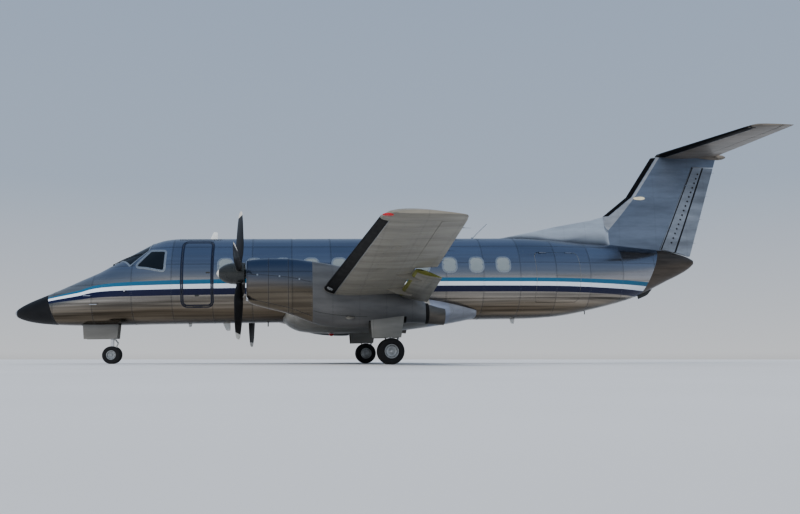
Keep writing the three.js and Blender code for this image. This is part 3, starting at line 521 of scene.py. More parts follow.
plus, minus, times, divided, muladd = map(maths, ("ADD", "SUBTRACT", "MULTIPLY", "DIVIDE", "MULTIPLY_ADD"))
greater, less, larger, smaller = map(maths, ("GREATER_THAN", "LESS_THAN", "MAXIMUM", "MINIMUM"))
absolute, whole, folded = map(maths, ("ABSOLUTE", "FLOOR", "PINGPONG"))


def mix(tree, fac, a, b):
    return node(tree, "Mix", {0: fac, 6: a, 7: b}, out=2, data_type="RGBA")


def feed(tree, shader, values):
    for key, value in values.items():
        link(tree, value, shader.inputs[key])


def bump(tree, height, strength, distance):
    return node(tree, "Bump", {"Strength": strength, "Distance": distance, "Height": height})


def axes_of(tree, vector):
    n = tree.nodes.new("ShaderNodeSeparateXYZ")
    tree.links.new(vector, n.inputs[0])
    return n.outputs


def scaled(tree, colour, gain):
    return node(tree, "VectorMath", {0: colour, "Scale": gain}, operation="SCALE")


def noise(tree, vector, scale, detail=3.0, stretch=None):
    if stretch is not None:
        vector = node(tree, "VectorMath", {0: vector, 1: stretch}, operation="MULTIPLY")
    return node(tree, "TexNoise", {"Vector": vector, "Scale": scale, "Detail": detail})


def between(tree, value, low, high):
    return times(tree, greater(tree, value, low), less(tree, value, high))


SHEET_PITCH = 1.02  # from one joint round the fuselage to the next
RIVET_GAP = 0.017  # from a joint line to the rivets beside it
SOCKETS = {1: "NodeSocketFloat", 3: "NodeSocketVector", 4: "NodeSocketColor"}


def shared(name, inputs, outputs):
    """A shader node group: its inputs with their values, its outputs with their number of parts."""
    group = bpy.data.node_groups.new(name, "ShaderNodeTree")
    for title, value in inputs.items():
        parts = len(value) if isinstance(value, tuple) else 1
        socket = group.interface.new_socket(title, in_out="INPUT", socket_type=SOCKETS[parts])
        socket.default_value = value
    for title, parts in outputs.items():
        group.interface.new_socket(title, in_out="OUTPUT", socket_type=SOCKETS[parts])
    return group, group.nodes.new("NodeGroupInput").outputs, group.nodes.new("NodeGroupOutput").inputs


def placed(tree, group, values=None):
    n = tree.nodes.new("ShaderNodeGroup")
    n.node_tree = group
    feed(tree, n, values or {})
    return n.outputs


def aircraft_axes():
    """Station aft, starboard and up, in metres, from Object coordinates."""
    group, _, end = shared("aircraft_axes", {}, {"X": 1, "Y": 1, "Z": 1, "Vector": 3})
    place = node(group, "TexCoord", out=3)
    moved = node(group, "VectorMath", {0: place, 1: tuple(ORIGIN)}, operation="SUBTRACT")
    turned = node(group, "VectorRotate", {"Vector": moved, "Angle": TILT}, rotation_type="Y_AXIS")
    for value, socket in zip((*axes_of(group, turned), turned), end):
        group.links.new(value, socket)
    return group


def worn_finish():
    """Uneven tone, uneven gloss and fine grain for any plain finish."""
    group, start, end = shared(
        "worn_finish",
        {"Vector": (0.0, 0.0, 0.0), "Colour": (0.5, 0.5, 0.5, 1.0), "Roughness": 0.4, "Variation": 0.12,
         "Scale": 8.0, "Stretch": (1.0, 1.0, 1.0), "Grain": 0.15},
        {"Colour": 4, "Roughness": 1, "Normal": 3})
    cloud = noise(group, start["Vector"], start["Scale"], 5.0, start["Stretch"])
    swing = minus(group, cloud, 0.5)
    tone = muladd(group, times(group, swing, 4.0), start["Variation"], 1.0)
    grain = noise(group, start["Vector"], times(group, start["Scale"], 6.0), 4.0, start["Stretch"])
    link(group, scaled(group, start["Colour"], tone), end["Colour"])
    link(group, muladd(group, swing, 0.25, start["Roughness"], clamp=True), end["Roughness"])
    link(group, bump(group, grain, start["Grain"], 0.002), end["Normal"])
    return group


def sheet_joints():
    """Joint lines with a rivet row beside each, in two directions across a sheet."""
    group, start, end = shared(
        "sheet_joints",
        {"Along": 0.0, "Across": 0.0, "Along Pitch": SHEET_PITCH, "Across Pitch": 0.476, "Line": 0.007},
        {"Lines": 1, "Rivets": 1})
    lines, dots = None, None
    for own, other in (("Along", "Across"), ("Across", "Along")):
        half = times(group, start[own + " Pitch"], 0.5)
        distance = folded(group, start[own], half)
        line = less(group, distance, times(group, start["Line"], 0.5))
        beside = less(group, absolute(group, minus(group, distance, RIVET_GAP)), 0.004)
        dot = times(group, beside, less(group, folded(group, start[other], 0.0125), 0.004))
        lines = line if lines is None else larger(group, lines, line)
        dots = dot if dots is None else larger(group, dots, dot)
    link(group, lines, end["Lines"])
    link(group, dots, end["Rivets"])
    return group


def sheet_with_painted_reflection():
    """Polished sheet with a painted reflection, bluer above as of the sky, browner below as of the ground and paler
    between; each panel a little different, with long streaks.
    """
    group, start, end = shared(
        "sheet_with_painted_reflection",
        {"Vector": (0.0, 0.0, 0.0), "Top": (0.2, 0.3, 0.4, 1.0), "Middle": (0.5, 0.5, 0.5, 1.0),
         "Bottom": (0.2, 0.15, 0.1, 1.0), "Middle Height": 0.0, "Depth": 1.14, "Streaks": 0.5, "Panels": 0.2},
        {"Colour": 4, "Panel": 1})
    x, _, z = axes_of(group, start["Vector"])
    level = divided(group, minus(group, z, start["Middle Height"]), start["Depth"])
    drift = minus(group, noise(group, start["Vector"], 1.0, 4.0, (0.35, 1.5, 7.0)), 0.5)
    level = muladd(group, drift, 0.4, level)
    # The colour by height is a painted reflection: the Top colour stands for the sky mirrored above, the Bottom
    # colour for the ground mirrored below.
    base = mix(group, times(group, level, 1.5, clamp=True), start["Middle"], start["Top"])
    base = mix(group, times(group, level, -1.5, clamp=True), base, start["Bottom"])
    streak = minus(group, noise(group, start["Vector"], 1.0, 5.0, (0.22, 1.1, 11.0)), 0.5)
    cell = node(group, "CombineXYZ", {0: whole(group, divided(group, x, SHEET_PITCH)),
                                      2: whole(group, times(group, z, 2.1))})
    panel = node(group, "TexWhiteNoise", {"Vector": cell}, noise_dimensions="3D")
    gain = muladd(group, minus(group, panel, 0.5), start["Panels"], 1.0)
    depth = muladd(group, times(group, level, -3.0, clamp=True), 0.85, 0.15)
    gain = muladd(group, times(group, times(group, streak, 5.0), depth), start["Streaks"], gain)
    link(group, scaled(group, base, larger(group, gain, 0.15)), end["Colour"])
    link(group, panel, end["Panel"])
    return group


def airflow_grime():
    """How clean painted sheet is, 1 or less, in clouds and fine lines drawn out along the airflow."""
    group, start, end = shared("airflow_grime", {"Vector": (0.0, 0.0, 0.0), "Dirt": 0.35}, {"Clean": 1})
    cloud = muladd(group, noise(group, start["Vector"], 1.6, 6.0, (0.4, 2.2, 2.2)), 2.7, -0.95, clamp=True)
    fine = muladd(group, noise(group, start["Vector"], 14.0, 5.0, (0.25, 1.0, 1.0)), 0.25, 0.88)
    clean = minus(group, 1.0, times(group, cloud, start["Dirt"]))
    link(group, times(group, clean, fine), end["Clean"])
    return group


AXES, WORN, JOINTS = aircraft_axes(), worn_finish(), sheet_joints()
SHEET, GRIME = sheet_with_painted_reflection(), airflow_grime()


# ---------------------------------------------------------------- materials
def material(name):
    mat = bpy.data.materials.new(name)
    mat.use_nodes = True
    tree = mat.node_tree
    return mat, tree, tree.nodes["Principled BSDF"], placed(tree, AXES)


# Edges of the painted bands along the side: station, then teal top, teal foot, navy top, navy foot
BANDS = [
    (0.9, -0.415, -0.455, -0.52, -0.585), (1.7, -0.262, -0.325, -0.405, -0.505),
    (2.4, -0.115, -0.205, -0.305, -0.455), (3.3, -0.08, -0.184, -0.295, -0.45),
    (14.0, -0.08, -0.184, -0.295, -0.45), (16.05, -0.12, -0.235, -0.355, -0.51),
    (16.9, -0.16, -0.275, -0.405, -0.565), (18.0, -0.23, -0.345, -0.48, -0.65),
]
BAND_LENGTH, BAND_ROUGHNESS = 20.0, 0.24
TEAL, WHITE, NAVY = (0.022, 0.11, 0.195, 1), (0.66, 0.71, 0.77, 1), (0.004, 0.007, 0.038, 1)
JOINT_DARK = (0.03, 0.03, 0.032, 1)


def band_edge(tree, x, column):
    """The height of one edge of the bands along the side."""
    n = tree.nodes.new("ShaderNodeFloatCurve")
    link(tree, divided(tree, x, BAND_LENGTH), n.inputs["Value"])
    curve = n.mapping.curves[0]
    for row in BANDS:
        curve.points.new(row[0] / BAND_LENGTH, row[column] + 1)
    for point, x, row, rise in ((0, 0, BANDS[0], 0.8), (-1, 1, BANDS[-1], 0.9)):
        curve.points[point].location = (x, row[column] + rise)
    n.mapping.update()
    return minus(tree, n.outputs[0], 1.0)


def polished(name, top, middle, bottom, height=0.0, depth=1.14, streaks=0.5, rough=0.16, bands=False):
    """Polished bare sheet with joints and rivets, a painted reflection from its top, middle and bottom colours, and
    the fuselage's painted bands where asked.
    """
    mat, tree, shader, axes = material(name)
    sheet = placed(tree, SHEET, {
        "Vector": axes["Vector"], "Top": (*top, 1), "Middle": (*middle, 1), "Bottom": (*bottom, 1),
        "Middle Height": height, "Depth": depth, "Streaks": streaks})
    joints = placed(tree, JOINTS, {"Along": axes["X"], "Across": plus(tree, axes["Z"], 0.13)})
    marks = larger(tree, joints["Lines"], joints["Rivets"])
    colour = mix(tree, times(tree, marks, 0.7), sheet["Colour"], JOINT_DARK)
    gloss = muladd(tree, joints["Lines"], 0.2, muladd(tree, sheet["Panel"], 0.1, rough))
    metal = 1.0
    if bands:
        edges = [band_edge(tree, axes["X"], column) for column in (1, 2, 3, 4)]
        along = between(tree, axes["X"], 0.8, 17.9)
        painted = 0.0
        for upper, lower, tint in zip(edges, edges[1:], (TEAL, WHITE, NAVY)):
            mask = times(tree, between(tree, axes["Z"], lower, upper), along)
            colour = mix(tree, mask, colour, tint)
            painted = plus(tree, painted, mask)
        gloss = node(tree, "Mix", {0: painted, 2: gloss, 3: BAND_ROUGHNESS})
        metal = minus(tree, 1.0, painted, clamp=True)
    waves = noise(tree, axes["Vector"], 2.2, 2.0, (0.6, 1, 2.4))
    feed(tree, shader, {
        "Metallic": metal, "Base Color": colour, "Roughness": gloss,
        "Normal": bump(tree, muladd(tree, marks, -0.35, times(tree, waves, 0.9)), 0.25, 0.012)})
    return mat


def paint(name, colour, roughness=0.42, dirt=0.35, panels=0.62, rows=0.83, upright=False,
          metallic=0.0, patch=None, coat=0.15, marked=0.35):
    """Painted or dull sheet with joints and grime, and a tinted patch where asked."""
    mat, tree, shader, axes = material(name)
    clean = placed(tree, GRIME, {"Vector": axes["Vector"], "Dirt": dirt})["Clean"]
    across = axes["Z"] if upright else axes["Y"]
    joints = placed(tree, JOINTS, {"Along": axes["X"], "Across": plus(tree, across, 0.2),
                                   "Along Pitch": panels, "Across Pitch": rows})
    marks = larger(tree, joints["Lines"], joints["Rivets"])
    if patch:
        mask, tint = patch(tree, axes)
        colour = mix(tree, mask, (*colour, 1), tint)
    base = mix(tree, times(tree, marks, marked), scaled(tree, colour, clean), (0.05, 0.05, 0.05, 1))
    feed(tree, shader, {
        "Metallic": metallic, "Coat Weight": coat, "Base Color": base,
        "Roughness": muladd(tree, clean, -0.2, roughness + 0.18),
        "Normal": bump(tree, times(tree, marks, -0.4), 0.3, 0.006)})
    return mat


# A patch function gives a mask over a sheet and the tint that it has there
def flap_end(tree, axes):
    """The primed metal that shows at the flaps' ends and along their noses."""
    y = absolute(tree, axes["Y"])
    mask = less(tree, axes["X"], 9.66)
    for end in (1.56, 2.83, 3.76, 6.19):
        mask = larger(tree, mask, between(tree, y, end - 0.008, end + 0.008))
    return mask, (0.2, 0.2, 0.035, 1)


def buffed(tree, axes, start=10.75, end=11.3):
    """The bluer metal of the fairing abaft the wing, with a bluer plate still at its front."""
    tint = mix(tree, between(tree, axes["X"], start, end), (0.2, 0.215, 0.25, 1), (0.2, 0.225, 0.29, 1))
    return greater(tree, axes["X"], start), tint


def fin_front(tree, axes):
    """The pale front of the fin, behind its boot and above the dorsal fillet."""
    low = muladd(tree, minus(tree, axes["Z"], 1.15), 0.875, 16.0)
    high = muladd(tree, minus(tree, axes["Z"], 2.35), 0.695, 17.05)
    return less(tree, axes["X"], smaller(tree, low, high)), (0.4, 0.42, 0.45, 1)


# The forward and the aft rudder's hinge, each as its foot and its top, in (station, height)
RUDDER_HINGES = (((17.76, 0.78), (18.9, 3.24)), ((18.19, 0.66), (19.235, 3.24)))


def rudder_hinge_shade(tree, axes):
    """Painted shade in the gaps along the two rudder hinges, which reaches a little aft of them."""
    mask = 0.0
    for ((x0, z0), (x1, z1)), aft in zip(RUDDER_HINGES, (0.008, 0.016)):
        lean = (x1 - x0) / (z1 - z0)
        start = x0 - lean * z0
        place = muladd(tree, axes["Z"], -lean, axes["X"])
        mask = larger(tree, mask, between(tree, place, start - 0.03, start + aft))
    return mask, (0.012, 0.014, 0.018, 1)


def tail_nose(tree, axes):
    """The rubber that joins the fin's boot to the tailplane's, round the nose between them."""
    inner = less(tree, absolute(tree, axes["Y"]), 0.17)
    return times(tree, inner, less(tree, axes["X"], 17.98)), (0.006, 0.006, 0.007, 1)


def plain(name, colour, roughness=0.4, metallic=0.0, variation=0.12, scale=8.0, grain=0.15, coat=0.0,
          stretch=(1, 1, 1), tip=None, specular=0.5):
    """One finish all over, from the shared worn finish, with a bright metal nose cap where tip says its length, a
    painted highlight for the glint on a glossy nose tip.
    """
    mat, tree, shader, axes = material(name)
    worn = placed(tree, WORN, {"Vector": axes["Vector"], "Colour": (*colour, 1), "Roughness": roughness,
                               "Variation": variation, "Scale": scale, "Stretch": stretch, "Grain": grain})
    tone = worn["Colour"]
    if tip:
        metallic = less(tree, axes["X"], tip)
        tone = mix(tree, metallic, tone, (0.55, 0.56, 0.57, 1))
    feed(tree, shader, {
        "Metallic": metallic, "Coat Weight": coat, "Specular IOR Level": specular, "Base Color": tone,
        "Roughness": worn["Roughness"], "Normal": worn["Normal"]})
    return mat


M = {
    # The polished skin and cowls carry a painted reflection: their top colours are the sky mirrored, their bottom
    # colours the ground.
    "skin": polished("polished_skin", (0.27, 0.295, 0.355), (0.42, 0.395, 0.36), (0.185, 0.155, 0.12),
                     height=-0.28, depth=0.85, streaks=0.55, bands=True),
    "cowl": polished("cowl_sheet", (0.115, 0.138, 0.19), (0.19, 0.2, 0.23), (0.165, 0.14, 0.108),
                     height=-0.2, depth=0.5, streaks=0.3, rough=0.14),
    "wing": paint("wing_paint", (0.285, 0.265, 0.22)),
    "fairing": paint("fairing_paint", (0.25, 0.245, 0.225), panels=0.9, patch=buffed),
    "bay": paint("bay_paint", (0.155, 0.155, 0.155), 0.36, 0.4, metallic=0.5),
    "flap": paint("flap_paint", (0.27, 0.255, 0.215), panels=0.9, patch=flap_end),
    # The tailplane's colour is its paint darkened, painted shade that stands for the shadow on its underside.
    "tail": paint("tailplane_paint_darkened_as_shade", (0.175, 0.152, 0.125), panels=0.7, patch=tail_nose),
    # The rudders' patch paints shade along their hinge gaps.
    "rudder": paint("rudder_sheet", (0.235, 0.265, 0.31), dirt=0.4, metallic=0.4, upright=True,
                    patch=rudder_hinge_shade, coat=0.0, marked=0.2),
    "fin": paint("fin_sheet", (0.165, 0.2, 0.262), 0.38, 0.3, 1.1, 0.84, upright=True, metallic=0.55,
                 patch=fin_front, coat=0.0, marked=0.2),
    "dorsal": paint("dorsal_paint", (0.27, 0.31, 0.365), 0.38, 0.2, upright=True, marked=0.2),
    "cone": plain("tail_cone_sheet", (0.1, 0.085, 0.072), 0.32, 0.85, 0.3, 3.0, stretch=(0.3, 1, 4)),
    # The radome's bright nose cap is a painted highlight standing for the glint on its glossy tip.
    "radome": plain("radome_black", (0.01, 0.01, 0.011), 0.5, 0.0, 0.35, 5.0, coat=0.05, tip=0.06,
                    specular=0.35),
    "rubber": plain("boot_rubber", (0.005, 0.005, 0.0055), 0.5, 0.0, 0.4, 6.0, specular=0.2),
    "glass": plain("cockpit_glass", (0.01, 0.014, 0.02), 0.14, 0.0, 0.1, 2.0, grain=0.0, specular=0.15),
    "frame": plain("window_frame", (0.42, 0.44, 0.46), 0.3, 0.9),
    "blind": plain("window_pane", (0.2, 0.228, 0.24), 0.2, 0.0, 0.05, 3.0, grain=0.0, specular=0.25),
    "outline": plain("door_outline", (0.005, 0.008, 0.025), 0.35, 0.0, 0.1, 8.0, coat=0.3),
    "exhaust": plain("exhaust_metal", (0.19, 0.17, 0.145), 0.48, 0.9, 0.4, 4.0, stretch=(0.5, 1, 1)),
    "soot": plain("soot", (0.012, 0.011, 0.01), 0.85),
    "blade": plain("blade_black", (0.01, 0.01, 0.011), 0.4, 0.0, 0.2, 6.0, coat=0.15),
    "tip": plain("blade_tip", (0.62, 0.6, 0.55), 0.4),
    "spinner": plain("spinner_dark", (0.03, 0.032, 0.03), 0.28, 0.2, 0.25, 5.0, coat=0.4),
    "gear": plain("gear_paint", (0.46, 0.47, 0.46), 0.38, 0.0, 0.15, 9.0, coat=0.2),
    "chrome": plain("oleo_chrome", (0.75, 0.76, 0.78), 0.1, 1.0, 0.04, 3.0, grain=0.02),
    "rim": plain("rim_metal", (0.5, 0.51, 0.51), 0.35, 0.8, 0.2, 10.0),
    "tyre": plain("tyre_rubber", (0.018, 0.018, 0.019), 0.78, 0.0, 0.3, 20.0, grain=0.4),
    "hose": plain("hose_black", (0.012, 0.012, 0.012), 0.55),
    "dark": plain("dark_bay", (0.05, 0.052, 0.05), 0.7, 0.0, 0.3, 6.0),
    "white": plain("aerial_white", (0.7, 0.71, 0.7), 0.35, 0.0, 0.06),
    "red": plain("lamp_red", (0.45, 0.01, 0.008), 0.15, 0.0, 0.05, 4.0, grain=0.0, coat=1.0),
    "green": plain("lamp_green", (0.01, 0.3, 0.06), 0.15, 0.0, 0.05, 4.0, grain=0.0, coat=1.0),
    "lamp": plain("lamp_clear", (0.6, 0.62, 0.64), 0.12, 0.6, 0.05, 4.0, grain=0.0, coat=1.0),
    "rivet": plain("rivet_heads", (0.2, 0.21, 0.23), 0.3, 0.9, 0.1, 20.0, grain=0.0),
    "seam": plain("joint_line", (0.02, 0.02, 0.022), 0.6, 0.0, 0.1, 10.0, grain=0.0),
    "cream": plain("cream_plate", (0.62, 0.57, 0.42), 0.4, 0.0, 0.1, 10.0),
    "inside": plain("cabin_lining", (0.42, 0.41, 0.38), 0.6, 0.0, 0.08, 6.0),
}

# ---------------------------------------------------------------- the airframe's skin
NACELLE_POWER, FAIRING_POWER = 2.4, 2.5  # how square the sections are, where 2 is an oval
refine("nose_section", "skin", fuselage_surface, inner="dark")
for name in ("forward_cabin", "cabin_section", "rear_fuselage", "passenger_door", "cargo_door"):
    refine(name, "skin", fuselage_surface, inner="inside")
refine("radome", "radome", fuselage_surface)
refine("tail_cone", "cone", fuselage_surface)
refine("belly_fairing", "fairing", tube_surface(FAIRING, FAIRING_POWER))
for side, sign in SIDES:
    nacelle = tube_surface(NACELLE, NACELLE_POWER, sign * NACELLE_Y)
    for pane in ("windscreen", "side_window"):
        refine(f"{pane}_{side}", "glass", fuselage_surface)
    refine(f"cowl_{side}", "cowl", nacelle, inner="soot")
    refine(f"gear_bay_{side}", "bay", nacelle, inner="dark")
    for name in (f"wing_{side}", f"aileron_{side}"):
        refine(name, "wing", wing_surface, cuts=1)
    refine(f"elevator_{side}", "tail", tail_surface, cuts=1)
    for place in ("inboard", "outboard"):
        refine(f"flap_{place}_{side}", "flap")
    refine(f"exhaust_{side}", "exhaust")
refine("tailplane", "tail", tail_surface, cuts=1)
for name, finish in (("fin", "fin"), ("rudder_forward", "rudder"), ("rudder_aft", "rudder")):
    refine(name, finish, fin_surface, cuts=1)
refine("dorsal_fin", "dorsal")
recolour(("nose_leg", "nose_fork", "main_leg_left", "main_leg_right"), "gear")
recolour([f"{bay}_door_{side}" for bay in ("nose", "main_left", "main_right") for side, _ in SIDES], "fairing")
recolour([name for name in ("engine_left", "engine_right") if name in NODES], "soot")

# ---------------------------------------------------------------- window frames and door edges
WINDSCREEN = [(2.5, 0.028), (3.505, 0.028), (3.44, 0.64), (3.0, 0.745)]
SIDE_WINDOW = [(3.17, 0.32), (3.53, 0.715), (3.895, 0.7), (3.885, 0.19), (3.45, 0.285)]
# First and last station, foot and top of each door
PASSENGER_DOOR = (4.34, 5.11, -0.73, 0.99)
CARGO_DOOR = (13.68, 14.96, -0.72, 0.63)


def dense(outline, step=0.03):
    """The same outline with points no further apart than step."""
    out = []
    for a, b in zip(outline, np.roll(outline, -1, 0)):
        n = max(1, int(np.linalg.norm(b - a) / step))
        out += [a + (b - a) * i / n for i in range(n)]
    return np.array(out)


def softened(outline, radius=0.045, steps=6):
    """The same outline with rounded corners."""
    out = []
    pts = [np.asarray(p, float) for p in outline]
    for i, p in enumerate(pts):
        a, b = unit(pts[i - 1] - p), unit(pts[(i + 1) % len(pts)] - p)
        cut = radius / math.tan(math.acos(np.clip(a @ b, -1, 1)) / 2)
        start, end = p + a * cut, p + b * cut
        out += [(1 - t) ** 2 * start + 2 * t * (1 - t) * p + t * t * end for t in np.linspace(0, 1, steps)]
    return np.array(out)


def wound(o):
    """The same outline, turning the way in which grown moves it outwards."""
    mid = o.mean(0)
    return o[::-1] if np.cross(o - mid, np.roll(o, -1, 0) - mid).sum() < 0 else o


def band(place, outline, side, profile):
    """A raised band along an outline, through (distance outside it, height over the skin) pairs."""
    return rings_mesh([place(grown(outline, by), side, out) for by, out in profile], "open")


def frame_profile(inner, outer, out=0.007, bevel=0.006):
    """The profile of a window frame with bevelled edges."""
    low = out * 0.7
    return ((outer, SUNK), (outer, low), (outer - bevel, out), (inner + bevel, out), (inner, low),
            (inner, SUNK))


for side, sign in SIDES:
    for name, place, outline, outer in (("side_window", on_side, SIDE_WINDOW, 0.055),
                                        ("windscreen", on_top, WINDSCREEN, 0.03)):
        o = wound(dense(softened(outline)))
        add(f"{name}_frame_{side}", [band(place, o, sign, frame_profile(-0.004, outer))], "frame")

edge = wound(dense(rounded(*PASSENGER_DOOR, 0.13, 10)))
for place, body, inner, outer in (("outside", "airframe", 0.003, 0.034),
                                  ("inside", "passenger_door", -0.045, -0.013)):
    profile = ((outer, -0.003), (outer, 0.0022), (inner, 0.0022), (inner, -0.003))
    add(f"door_edge_{place}", [band(on_side, edge, -1, profile)], "outline", body)
handles = [side_patch(rounded(x - 0.055, x + 0.055, z - 0.018, z + 0.018, 0.016, 5), -1, 0.004, 2)
           for x, z in ((4.72, -0.46), (5.0, 0.12))]
add("door_handle", handles, "dark", "passenger_door")
gutter = on_side([(x, 1.075) for x in np.linspace(4.2, 5.3, 40)], -1, 0.006)
add("door_gutter", [pipe(gutter, 0.009, 8)], "frame")

# Eleven cabin windows a side
WINDOW_PROFILE = ((0.042, -0.003), (0.042, 0.003), (0.012, 0.006), (0, 0.004), (-0.004, -0.002))
panes, rings = [], []
for _, sign in SIDES:
    for x in 5.44 + 0.735 * np.arange(11):
        o = rounded(x - 0.17, x + 0.17, 0.11, 0.47, 0.115)
        rings.append(band(on_side, o, sign, WINDOW_PROFILE))
        panes.append(side_patch(grown(o, -0.002), sign, 0.0015, 3))
add("cabin_window_frames", rings, "frame")
add("cabin_window_panes", panes, "blind")

# ---------------------------------------------------------------- propellers
# Radius, chord, thickness and pitch in degrees along a blade
BLADE = np.array([
    (0.15, 0.11, 0.105, 60), (0.3, 0.13, 0.085, 56), (0.48, 0.225, 0.05, 50), (0.8, 0.285, 0.03, 41),
    (1.2, 0.28, 0.02, 32), (1.48, 0.225, 0.014, 27), (1.57, 0.165, 0.01, 25.5), (1.6, 0.085, 0.006, 25),
])
FIRST_BLADE = {"left": -17, "right": -3}
# (radius, station) pairs of the hub and, from its tip aft, of the spinner
HUB = [(0, 5.79), (0.246, 5.79), (0.25, 5.8), (0.252, 6.05), (0.24, 6.06), (0.095, 6.062), (0.095, 6.0997),
       (0, 6.0997)]
SPINNER = [(0.245 * (1 - (1 - t) ** 2.1) ** 0.72, 5.4 + 0.3897 * t) for t in np.linspace(0, 1, 26)]
SPINNER_TIP = 4  # how many steps of the spinner are painted


def blade_part(centre, turn, r0, r1, count=30, sides=36):
    """A blade between two radii; turn is how far it stands from upright."""
    rings = []
    s, c = math.sin(math.radians(turn)), math.cos(math.radians(turn))
    for r in r0 + (r1 - r0) * np.sin(np.linspace(0, math.pi / 2, count)) ** 0.9:
        chord, thick, pitch = (curve_through(r, BLADE[:, 0], BLADE[:, k]) for k in (1, 2, 3))
        along, across = np.cos(around(sides)), np.sin(around(sides))
        sharp = 1 - np.clip((0.42 - r) / 0.2, 0, 1)
        u, v = along * chord / 2, across * (1 - sharp * 0.35 * (1 + along) * 0.6) * thick / 2
        p = math.radians(pitch)
        x, y = -u * math.sin(p) - v * math.cos(p), u * math.cos(p) - v * math.sin(p)
        rings.append(np.stack([x, y * c - r * s, y * s + r * c], -1) + centre)
    return rings_mesh(rings)


for side, sign in SIDES:
    hub = np.array([HUB_X, sign * NACELLE_Y, HUB_Z])
    turns = [FIRST_BLADE[side] + 90 * k for k in range(4)]
    body = NODES[f"propeller_{side}"]["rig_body"]
    add(f"blades_{side}", [blade_part(hub, t, 0.15, 1.47) for t in turns], "blade", body,
        nodes=(f"propeller_{side}",))
    add(f"blade_tips_{side}", [blade_part(hub, t, 1.465, 1.6, 12) for t in turns], "tip", body)
    shell = SPINNER[SPINNER_TIP:] + [(0, 5.7897)]
    cap = SPINNER[:SPINNER_TIP + 1] + [(0, SPINNER[SPINNER_TIP][1])]
    turned_parts = [[lathe(rows, hub * (0, 1, 1), "x", 72)] for rows in (HUB, shell, cap)]
    add(f"hub_{side}", turned_parts[0], "spinner", body)
    add(f"spinner_shell_{side}", turned_parts[1], "spinner", body, nodes=(f"spinner_{side}",))
    add(f"spinner_tip_{side}", turned_parts[2], "tip", body)
    ways = [np.array([0, -math.sin(math.radians(t)), math.cos(math.radians(t))]) for t in turns]
    add(f"blade_cuffs_{side}", [bar(hub + d * 0.2, hub + d * 0.262, 0.078, 0.07, 28) for d in ways], "dark", body)

# ---------------------------------------------------------------- wheels
GROUND, MAIN_X, NOSE_X = -2.3, 9.42, 2.45
MAIN_RADIUS, NOSE_RADIUS = 0.305, 0.229


def ground_at(x):
    return GROUND - (x - MAIN_X) * math.tan(TILT)


def tyre_profile(radius, width, rim):
    """(radius, distance) pairs round a tyre with two grooves a side."""
    w = width / 2
    half = [(rim, 0.68 * w), (rim + 0.008, 0.74 * w), (rim + 0.02, 0.8 * w)]
    half += [(rim + (radius - rim) * t, w * (0.8 + 0.2 * math.sin(math.pi * min(1, t / 0.62) / 2)))
             for t in (0.2, 0.35, 0.5, 0.62)]
    half += [(radius - depth * w, place * w) for depth, place in (
        (0.16, 0.86), (0.06, 0.7), (0.015, 0.55), (0.01, 0.5), (0.09, 0.48), (0.09, 0.43), (0, 0.41), (0, 0.1),
        (0.09, 0.08), (0.09, 0.03), (0, 0.01))]
    return half + [(r, -t) for r, t in half[::-1]]


def wheel_faces(centre, out, rim, width, bolts):
    """The dished disc, hub cap and bolts of one wheel, and dark discs that paint the shade in its holes; out is the
    side that faces away from the leg.
    """
    w = 0.4 * width
    disc = [(0, 0.2 * w), (0.2 * rim, 0.2 * w), (0.36 * rim, 0.3 * w), (0.5 * rim, 0.12 * w), (0.72 * rim, 0.2 * w),
            (rim - 0.02, 0.62 * w), (rim - 0.014, 0.98 * w), (rim - 0.0005, w), (rim - 0.0005, -w), (rim - 0.03, -w),
            (rim - 0.034, -0.2 * w), (0, -0.2 * w)]
    cap = [(0, 0.2 * w + 0.034), (0.2 * rim, 0.2 * w + 0.03), (0.27 * rim, 0.2 * w + 0.016), (0.28 * rim, 0.18 * w),
           (0, 0.18 * w)]
    metal = [lathe([(r, out * t) for r, t in rows], centre, "y", sides) for rows, sides in ((disc, 72), (cap, 40))]
    hole_shade = []
    for k in range(bolts):
        for parts, turn, place, start, length, size, sides in (
                (metal, 0, 0.6, 0.12, 0.016, 0.009, 6), (hole_shade, 0.5, 0.83, 0.3, 0.012, 0.013, 16)):
            a = 2 * math.pi * (k + turn) / bolts
            p = centre + np.array([place * rim * math.cos(a), out * start * w, place * rim * math.sin(a)])
            parts.append(bar(p, p + (0, out * length, 0), size, sides=sides))
    return metal, hole_shade


def dress_wheels(place, axle, radius, width, rim, offset, axle_radius, bolts):
    """Two tyres and wheels on one axle, offset from its middle."""
    body = NODES[f"{place}_rims"]["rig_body"]
    ends = [np.array(axle) + (0, sign * offset, 0) for _, sign in SIDES]
    metal, hole_shade = [bar(*ends, axle_radius)], []
    for (side, sign), centre in zip(SIDES, ends):
        tyre = lathe(tyre_profile(radius, width, rim), centre, "y", 96, "joined")
        add(f"{place}_tyre_{side}_tread", [tyre], "tyre", body, (f"{place}_tyre_{side}",), angle=24)
        for parts, more in zip((metal, hole_shade), wheel_faces(centre, sign, rim - 0.0003, width, bolts)):
            parts += more
    add(f"{place}_wheel_discs", metal, "rim", body, (f"{place}_rims",))
    # Dark discs on the wheel faces paint the shade seen through the wheels' holes, which are not cut.
    add(f"{place}_wheel_hole_shade", hole_shade, "dark", body)


dress_wheels("nose", (NOSE_X, 0, ground_at(NOSE_X) + NOSE_RADIUS), NOSE_RADIUS, 0.14, 0.122, 0.125, 0.025, 8)
for side, sign in SIDES:
    dress_wheels(f"main_{side}", (MAIN_X, sign * NACELLE_Y, ground_at(MAIN_X) + MAIN_RADIUS), MAIN_RADIUS,
                 0.184, 0.165, 0.185, 0.032, 9)

